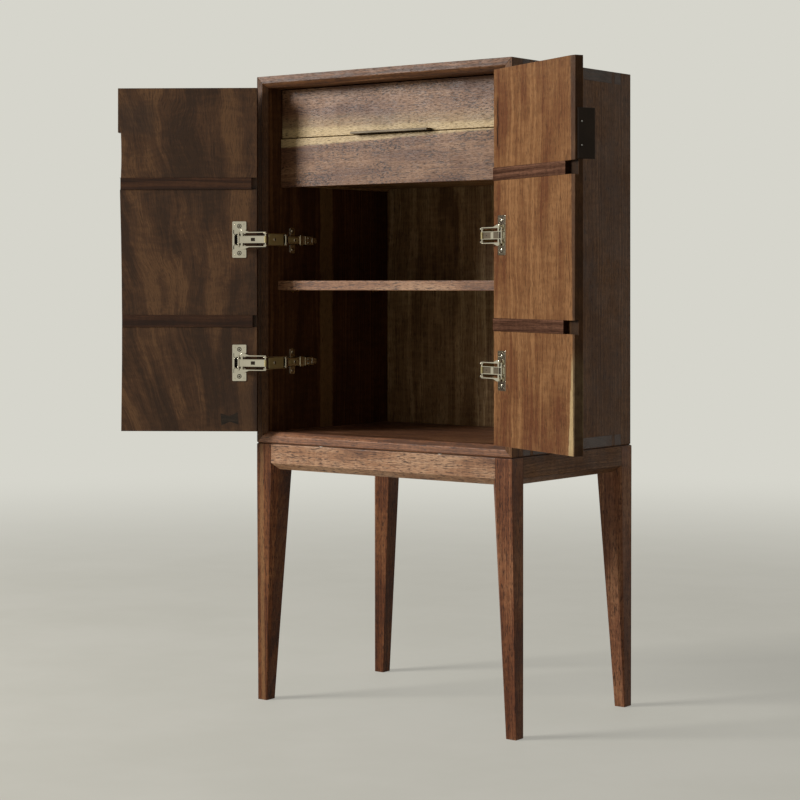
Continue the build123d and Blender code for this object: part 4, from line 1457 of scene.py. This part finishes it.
@dataclass(frozen=True)
class Hinge:
    """A knee hinge: cup, link, lever and arm. Its link and lever meet at the knee at rest."""

    leaf: Leaf
    height: float
    level: str
    cup_radius: float = 13.0
    cup_depth: float = 11.0
    flange_width: float = 27.0
    flange_height: float = 70.0
    neck_height: float = 36.0
    neck_width: float = 24.5
    flange: float = 1.2
    screw_spread: float = 26.0
    ear_radius: float = 3.0
    cup_pin: float = 14.5
    pivot_along: float = 35.0
    pivot_proud: float = 4.0
    link_length: float = 55.0
    link_half: float = 7.0
    lever_length: float = 64.0
    lever_half: float = 10.3
    cheek: float = 2.2
    arm_inset: float = 23.0
    arm_back: float = 6.6
    arm_length: float = 85.0
    arm_half: float = 9.0
    wing_back: float = 45.0

    def angles(self) -> Point:
        """Angles of the lever on the case and the link on the door at which they meet, in degrees.

        Returns:
            The lever's angle and the link's.
        """
        leaf = self.leaf
        swing = radians(-leaf.opening)
        reach_x = leaf.axis_offset + self.pivot_along
        reach_y = leaf.axis_offset + leaf.thickness + self.pivot_proud
        cup_x = leaf.hinge_edge - leaf.axis_offset + reach_x * cos(swing) - reach_y * sin(swing)
        cup_y = leaf.setback - leaf.axis_offset + reach_x * sin(swing) + reach_y * cos(swing)
        arm_x = leaf.board + self.arm_inset
        arm_y = leaf.setback + leaf.thickness + self.arm_back
        span = hypot(cup_x - arm_x, cup_y - arm_y)
        spread = acos((self.lever_length**2 + span**2 - self.link_length**2) / (2 * self.lever_length * span))
        lever = atan2(cup_y - arm_y, cup_x - arm_x) + spread
        knee_x = arm_x + self.lever_length * cos(lever)
        knee_y = arm_y + self.lever_length * sin(lever)
        return degrees(lever), degrees(atan2(knee_y - cup_y, knee_x - cup_x)) + leaf.opening

    def build(self, shop: Workshop) -> None:
        """Build the four pieces.

        Args:
            shop: The workshop.
        """
        leaf = self.leaf
        lever_angle, link_angle = self.angles()
        pivot_depth = leaf.setback + leaf.thickness + self.arm_back
        case_pivot = leaf.case_frame(leaf.board + self.arm_inset, pivot_depth, self.height)
        lever_frame = leaf.case_frame(leaf.board + self.arm_inset, pivot_depth, self.height, lever_angle)
        pivot_through = leaf.thickness + self.pivot_proud
        link_frame = leaf.door_frame(self.pivot_along, pivot_through, self.height, link_angle)
        cup_frame = leaf.door_frame(leaf.cup_setback, leaf.thickness, self.height)
        coats = [shop.metals[Plate[coat.name]] for coat in Coat]
        for part, mould, matrix in (
            ("cup", self.cup(), cup_frame),
            ("link", self.link(), link_frame),
            ("lever", self.lever(), lever_frame),
            ("arm", self.arm(), case_pivot),
        ):
            node = f"{leaf.name}_{self.level}_hinge_{part}"
            shop.hand_in(mould.carry(matrix), f"{node}_piece", [node], coats)

    def cup(self) -> Mould:
        """The cup with its two wings, a strip between them, ears and pin. Y stands proud of the door.

        Returns:
            The cup's mould.
        """
        mould = Mould()
        radius, depth, flange = self.cup_radius, self.cup_depth, self.flange
        wall = radius - 1.0
        floor = 1.0 - depth
        shell = [
            (0.0, -depth), (radius - 1.5, -depth), (radius, 1.5 - depth), (radius, 0.0),
            (radius, flange * 0.7), (radius - 0.5, flange), (wall, flange * 0.7),
            (wall, 2.0 - depth), (radius - 2.5, floor), (0.0, floor),
        ]
        mould.turn(shell, (0.0, 0.0), Facing.Y)
        # A black lining paints the shade inside the cup.
        lining = [
            (0.0, floor), (0.0, 1.6 - depth), (radius - 1.8, 1.6 - depth), (radius - 1.6, -0.4),
            (wall, -0.4), (wall, floor),
        ]
        mould.turn(lining, (0.0, 0.0), Facing.Y, Coat.BLACK)
        wing_height = (self.flange_height - self.neck_height) / 2
        mouth = 11.4
        shoulder = self.neck_height / 2 - mouth + 1.0
        for way in (-1, 1):
            middle = way * (self.flange_height - wing_height) / 2
            wing = rounded(self.flange_width, wing_height, 1.8, (0.0, middle))
            mould.slab(wing, 0.0, flange, Facing.Y, 0.3)
            neck = rounded(self.neck_width, shoulder, 0.6, (0.0, way * (self.neck_height / 2 + mouth) / 2))
            mould.slab(neck, 0.0, flange, Facing.Y, 0.2)
            for dimple in (-8.6, 8.6):
                mould.turn([(0.0, flange), (1.3, flange), (1.0, flange + 0.35), (0.0, flange + 0.45)],
                           (dimple, middle + way * 3.2), Facing.Y, steps=12)
            # A thin black disc under each screw paints the shadow round its hole.
            mould.turn([(0.0, flange), (4.4, flange), (4.4, flange + 0.05), (0.0, flange + 0.06)],
                       (0.0, way * self.screw_spread), Facing.Y, Coat.BLACK)
        width = 4.0
        strip = rounded(width, self.neck_height + 2.0, 0.6, ((self.flange_width - width) / 2, 0.0))
        mould.slab(strip, 0.0, flange, Facing.Y, 0.2)
        pivot = self.pivot_along - self.leaf.cup_setback
        ear, proud = self.ear_radius, self.pivot_proud
        outline = [(pivot - ear, floor), (pivot + ear, floor), (pivot + ear, proud)]
        angles = [step * pi / 8 for step in range(1, 8)]
        outline += [(pivot + ear * cos(angle), proud + ear * sin(angle)) for angle in angles]
        outline.append((pivot - ear, proud))
        mould.pair(outline, 7.5, 9.0, Facing.Z, 0.2)
        mould.rod(1.5, -self.cup_pin, self.cup_pin, Facing.Z, (pivot, proud))
        return mould

    def link(self) -> Mould:
        """The link: a channel with a square hole, and an arm above and below that narrows from the cup.

        Returns:
            The link's mould.
        """
        mould = Mould()
        length, half = self.link_length, self.link_half
        low, high = 0.4, 2.0
        outline = [(-1.5, -half), (length + 1.5, -half), (length + 1.5, half), (-1.5, half)]
        middle = length * 0.53
        hole = [(middle - 2.6, -2.4), (middle + 2.6, -2.4), (middle + 2.6, 2.4), (middle - 2.6, 2.4)]
        mould.frame(outline, hole, low, high, Facing.Y)
        mould.pair(bar(length, 2.5, 2.0), half - 1.2, half, Facing.Z, 0.3)
        rib = [(6.0, 1.8), (length - 4.0, 1.8), (length - 5.0, 2.35), (7.0, 2.35)]
        mould.pair(rib, 2.9, 4.3, Facing.Z, 0.15)
        arm = [
            (5.0, half - 0.8), (9.0, half - 0.8), (9.0, 12.6), (18.0, 12.6), (length + 1.5, 12.9),
            (length + 1.5, 14.5), (22.0, 14.7), (12.0, 18.4), (7.5, 18.8), (5.0, 17.0),
        ]
        for way in (-1, 1):
            mould.slab([(x, way * z) for x, z in arm], -1.8, 1.8, Facing.Y, 0.25)
        barrel = 1.5
        mould.slab(rounded(10.6, 2 * half, 1.6, (2.0, 0.0)), high, high + barrel, Facing.Y, 0.9)
        # Black stripes paint the shade in the barrel's grooves.
        for groove in (0.2, 3.8):
            mould.stripe(0.9, 2 * half - 1.5, (groove, 0.0), high + barrel, Coat.BLACK)
        # A black strip paints the shaded gap beside the barrel.
        mould.slab(rounded(2.0, 2 * half, 0.3, (8.6, 0.0)), high, high + 0.1, Facing.Y, 0.0, Coat.BLACK)
        if self.leaf is LEFT:
            # A black sheet behind the square hole paints the shade seen through it.
            back = [(middle - 3.4, -3.2), (middle + 3.4, -3.2), (middle + 3.4, 3.2), (middle - 3.4, 3.2)]
            mould.slab(back, -1.9, 0.3, Facing.Y, 0.0, Coat.BLACK)
        else:
            # On the right link, sheets on the web paint its shade: a black slot by the cup, browned stretches
            # either side of a bright band, and a black spot.
            ends = (0.0, 8.0, 9.5, 23.5, 31.0, length - 1.0)
            coats = (Coat.BLACK, None, Coat.BROWNED, Coat.BRIGHT, Coat.BROWNED)
            for start, stop, coat in zip(ends, ends[1:], coats):
                if coat is not None:
                    cover = rounded(stop - start, 2 * half - 3.0, 0.4, ((start + stop) / 2, 0.0))
                    mould.slab(cover, low - 0.2, low - 0.02, Facing.Y, 0.0, coat)
            mould.stripe(3.0, 1.8, (43.0, 0.0), low - 0.28, Coat.BLACK)
        # The olive pin's colour is a painted reflection.
        mould.rod(2.5, -half, half, Facing.Z, (length, 0.0), Coat.TONED)
        return mould

    def lever(self) -> Mould:
        """The lever: two bright cheeks with an olive web, its colour a painted reflection, and an adjusting
        screw between them.

        Returns:
            The lever's mould.
        """
        mould = Mould()
        length, half = self.lever_length, self.lever_half
        outer = half + self.cheek
        web, web_top, pad_top = 2.8, 4.3, 4.75
        mould.pair(bar(length, 4.5, 4.1), half, outer, Facing.Z, 0.4)
        for low, high in ((outer, outer + 0.7), (-outer - 0.7, -outer)):
            mould.rod(2.6, low, high, Facing.Z, (length, 0.0))
        # The olive web and pad paint the reflection of the nickel in shade, and the screw's black cross
        # paints the shade in its recess.
        mould.slab(rounded(45.5, 2 * half, 1.5, (35.25, 0.0)), web, web_top, Facing.Y, 0.3, Coat.TONED)
        mould.slab(rounded(34.0, 6.5, 2.5, (31.0, 0.0)), web_top, pad_top, Facing.Y, 0.2, Coat.TONED)
        mould.screw(Screw(3.0, 0.9, 1.5, 5.0), pad_top, Facing.Y, (41.0, 0.0), Coat.BLACK)
        mould.rod(1.6, -half, half, Facing.Z, (length, 0.0))
        return mould

    def arm(self) -> Mould:
        """The arm on its winged base plate, with adjusting screws, a bracket and the end button.

        Returns:
            The arm's mould.
        """
        mould = Mould()
        length, half = self.arm_length, self.arm_half
        wall = -self.arm_inset
        plate_top = wall + 2.0
        start, cover = 8.0, -1.0
        base_start, base_stop = 11.5, 103.5
        base = rounded(base_stop - base_start, 2 * half, 2.0, ((base_start + base_stop) / 2, 0.0))
        mould.slab(base, wall, plate_top, Facing.X, 0.3)
        mould.slab(rounded(15.0, 50.0, 3.0, (self.wing_back, 0.0)), wall, plate_top, Facing.X, 0.3)
        side = [
            (plate_top, base_start), (-4.5, 0.0), (-3.2, -3.2), (0.0, -4.5), (3.2, -3.2), (4.5, 0.0),
            (2.0, 5.0), (cover, start), (cover, length - 1.0), (-4.0, length), (plate_top, length),
        ]
        mould.pair(side, half - 1.5, half, Facing.Z, 0.3)
        bridge = rounded(length - start, 2 * half, 1.2, ((length + start) / 2, 0.0))
        mould.slab(bridge, -2.5, cover, Facing.X, 0.3)
        # The olive pads paint a reflection, and the black crosses of the screws paint the shade in their
        # recesses.
        mould.slab(rounded(26.0, 9.0, 2.0, (24.0, 0.0)), cover, -0.6, Facing.X, 0.15, Coat.TONED)
        mould.screw(Screw(3.3, 0.8, 1.6, 8.0), -0.6, Facing.X, (29.0, 0.0), Coat.BLACK)
        mould.slab(rounded(10.0, 2 * half + 2.4, 1.5, (49.0, 0.0)), -3.0, 0.2, Facing.X, 0.5)
        mould.slab(rounded(1.4, 2 * half, 0.5, (60.6, 0.0)), cover, -0.4, Facing.X, 0.1)
        for way in (-1, 1):
            mould.screw(Screw(2.3, 0.7, 1.2, 6.0), cover, Facing.X, (70.0, way * 4.2), Coat.BLACK)
        mould.slab(rounded(14.0, 12.0, 2.5, (87.0, 0.0)), -6.5, -0.4, Facing.X, 0.8)
        mould.slab(rounded(16.0, 8.0, 1.5, (92.0, 0.0)), plate_top, -8.0, Facing.X, 0.6, Coat.TONED)
        reach = self.lever_half + self.cheek
        mould.rod(2.0, -reach, reach, Facing.Z)
        return mould


@dataclass(frozen=True)
class Hardware:
    """All hinges, with the screws of the hinges and of the pull plate."""

    heights: tuple[float, float] = (655.0, 892.0)
    wing_screw_spread: float = 18.0
    wing_depth: float = 78.0
    plate_rise: float = 490.0
    plate_height: float = 84.5
    plate_screw_margin: float = 22.5
    plate_screw_depth: float = 4.5
    plate_thickness: float = 3.0

    def drive(self, shop: Workshop, node: str, screw: Screw, level: float, facing: Facing,
              plates: Sequence[Plate], places: Sequence[tuple[Matrix, float]]) -> None:
        """Build the screws of one node.

        Args:
            shop: The workshop.
            node: The node, whose name ends in screws.
            screw: Their sizes.
            level: Where their heads sit, on the axis.
            facing: The axis.
            plates: Finish of the screw and of its recess.
            places: Each screw's frame, and how far its cross is turned.
        """
        screws = Mould()
        for frame, turned in places:
            one = Mould()
            one.screw(replace(screw, turned=turned), level, facing)
            one.carry(frame, screws)
        name = node.removesuffix("s") + "_heads"
        shop.hand_in(screws.mesh, name, [node], [shop.metals[plate] for plate in plates])

    def build(self, shop: Workshop) -> None:
        """Build the hinges and the screws that hold them.

        Args:
            shop: The workshop.
        """
        # The hinge screws are bright nickel with black crosses that paint the shade in their recesses.
        nickel = (Plate.BRIGHT, Plate.BLACK)
        wing_places = []
        for leaf in (LEFT, RIGHT):
            cup_places = []
            for level, height in zip(("lower", "upper"), self.heights):
                Hinge(leaf, height, level).build(shop)
                for way in (-1, 1):
                    rise = height + way * Hinge.screw_spread
                    place = leaf.door_frame(leaf.cup_setback, leaf.thickness, rise)
                    cup_places.append((place, 0.5 + way * 0.3))
                    rise = height + way * self.wing_screw_spread
                    place = leaf.case_frame(leaf.board, self.wing_depth, rise)
                    wing_places.append((place, 0.2 + way * 0.4))
            screw = Screw(3.2, 1.0, 1.5, 12.0)
            self.drive(shop, f"{leaf.name}_cup_screws", screw, Hinge.flange, Facing.Y, nickel, cup_places)
        self.drive(shop, "hinge_arm_screws", Screw(3.2, 1.0, 1.5, 14.0), 2.0, Facing.X, nickel, wing_places)
        low = RIGHT.bottom + self.plate_rise
        plate_places = [
            (RIGHT.door_frame(RIGHT.width, self.plate_screw_depth, height), 0.1)
            for height in (low + self.plate_screw_margin, low + self.plate_height - self.plate_screw_margin)
        ]
        screw = Screw(2.7, 1.1, 1.5, 15.0)
        # The pull plate's screws are black, and the bare steel in their crosses paints their glint.
        steel = (Plate.BLACK, Plate.STEEL)
        self.drive(shop, "pull_plate_screws", screw, self.plate_thickness, Facing.X, steel, plate_places)


# Studio


@dataclass(frozen=True)
class Studio:
    """Pale floor that fades into a pale backdrop, a soft key light, a low fill and the camera."""

    background: Rgb = paint(214, 213, 204)
    floor_colours: tuple[Rgb, Rgb] = (paint(186, 184, 172), paint(198, 196, 186))
    fill: Rgb = (0.148, 0.128, 0.108)
    floor_size: float = 60.0
    floor_fade: tuple[float, float] = (1.2, 5.0)
    floor_glow: float = 0.45
    key_place: Triple = (-2.75, -3.35, 2.45)
    key_size: float = 1.5
    key_power: float = 215.0
    key_colour: Rgb = (1.0, 0.985, 0.955)
    target: Triple = (0.0, -0.1, 0.75)
    camera_place: Triple = (2.39056, -3.23247, 0.80756)
    camera_turn: float = 37.655
    lens: float = 93.79
    rise: float = -0.1456

    def build(self) -> None:
        """Make the floor, the lights and the camera."""
        self.make_world()
        self.make_floor()
        self.make_key()
        self.make_camera()
        bpy.context.scene.view_settings.view_transform = "Standard"

    def make_world(self) -> None:
        """A world that cameras and mirrors see pale and that lights the piece softly."""
        world = bpy.data.worlds.new("studio")
        bpy.context.scene.world = world
        world.use_nodes = True
        sheet = Sheet(world.node_tree)
        shader = world.node_tree.nodes["Background"]
        sheet.put(shader.inputs["Color"], sheet.mix(self.seen(sheet), self.fill, self.background))

    def seen(self, sheet: Sheet) -> Value:
        """1 for rays from the camera, a mirror or glass, and 0 for light that falls on the piece.

        Args:
            sheet: The sheet to work on.

        Returns:
            The value.
        """
        rays = sheet.node("LightPath").outputs
        direct = sheet.math("MAXIMUM", rays["Is Camera Ray"], rays["Is Glossy Ray"])
        return sheet.math("MAXIMUM", direct, rays["Is Transmission Ray"])

    def make_floor(self) -> None:
        """A wide floor, plain near the piece and one with the backdrop far away."""
        mesh = bmesh.new()
        bmesh.ops.create_grid(mesh, x_segments=2, y_segments=2, size=self.floor_size)
        data = bpy.data.meshes.new("floor")
        mesh.to_mesh(data)
        mesh.free()
        floor = bpy.data.objects.new("floor", data)
        bpy.context.scene.collection.objects.link(floor)
        sheet = MaterialSheet("floor")
        place = sheet.node("TexCoord").outputs["Object"]
        mottle = sheet.marks(place, (2.2, 2.2, 2.2), 0.3, 0.7, 4.0, 0.6)
        sheet.put(sheet.shader.inputs["Base Color"], sheet.mix(mottle, *self.floor_colours))
        sheet.shader.inputs["Roughness"].default_value = 0.7
        glow = sheet.feed(sheet.node("Emission"), self.background)
        away = sheet.feed(sheet.node("VectorMath", operation="LENGTH"), place)
        share = sheet.fit(away.outputs["Value"], *self.floor_fade, self.floor_glow, 1.0)
        blend = sheet.node("MixShader")
        sheet.feed(blend, share * self.seen(sheet), sheet.shader.outputs[0], glow.outputs[0])
        sheet.put(sheet.tree.nodes["Material Output"].inputs["Surface"], blend.outputs[0])
        data.materials.append(sheet.material)

    def make_key(self) -> None:
        """One large soft light, high on the left of the front."""
        data = bpy.data.lights.new("key", "AREA")
        data.shape = "SQUARE"
        data.size = self.key_size
        data.energy = self.key_power
        data.color = self.key_colour
        key = bpy.data.objects.new("key", data)
        key.location = self.key_place
        aim = Vector(self.target) - Vector(self.key_place)
        key.rotation_euler = aim.to_track_quat("-Z", "Y").to_euler()
        bpy.context.scene.collection.objects.link(key)

    def make_camera(self) -> None:
        """A level camera from the right of the front."""
        data = bpy.data.cameras.new("camera")
        data.lens = self.lens
        data.sensor_width = 36.0
        data.shift_y = self.rise
        camera = bpy.data.objects.new("camera", data)
        camera.location = self.camera_place
        camera.rotation_euler = (pi / 2, 0.0, radians(self.camera_turn))
        bpy.context.scene.collection.objects.link(camera)
        bpy.context.scene.camera = camera


def main() -> None:
    """Build the cabinet in order."""
    logging.basicConfig(level=logging.INFO, format="%(message)s")
    shop = Workshop()
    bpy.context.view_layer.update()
    Studio().build()
    Case().build(shop)
    Stand().build(shop)
    Doors().build(shop)
    Hardware().build(shop)
    Drawers().build(shop)


if __name__ == "__main__":
    main()
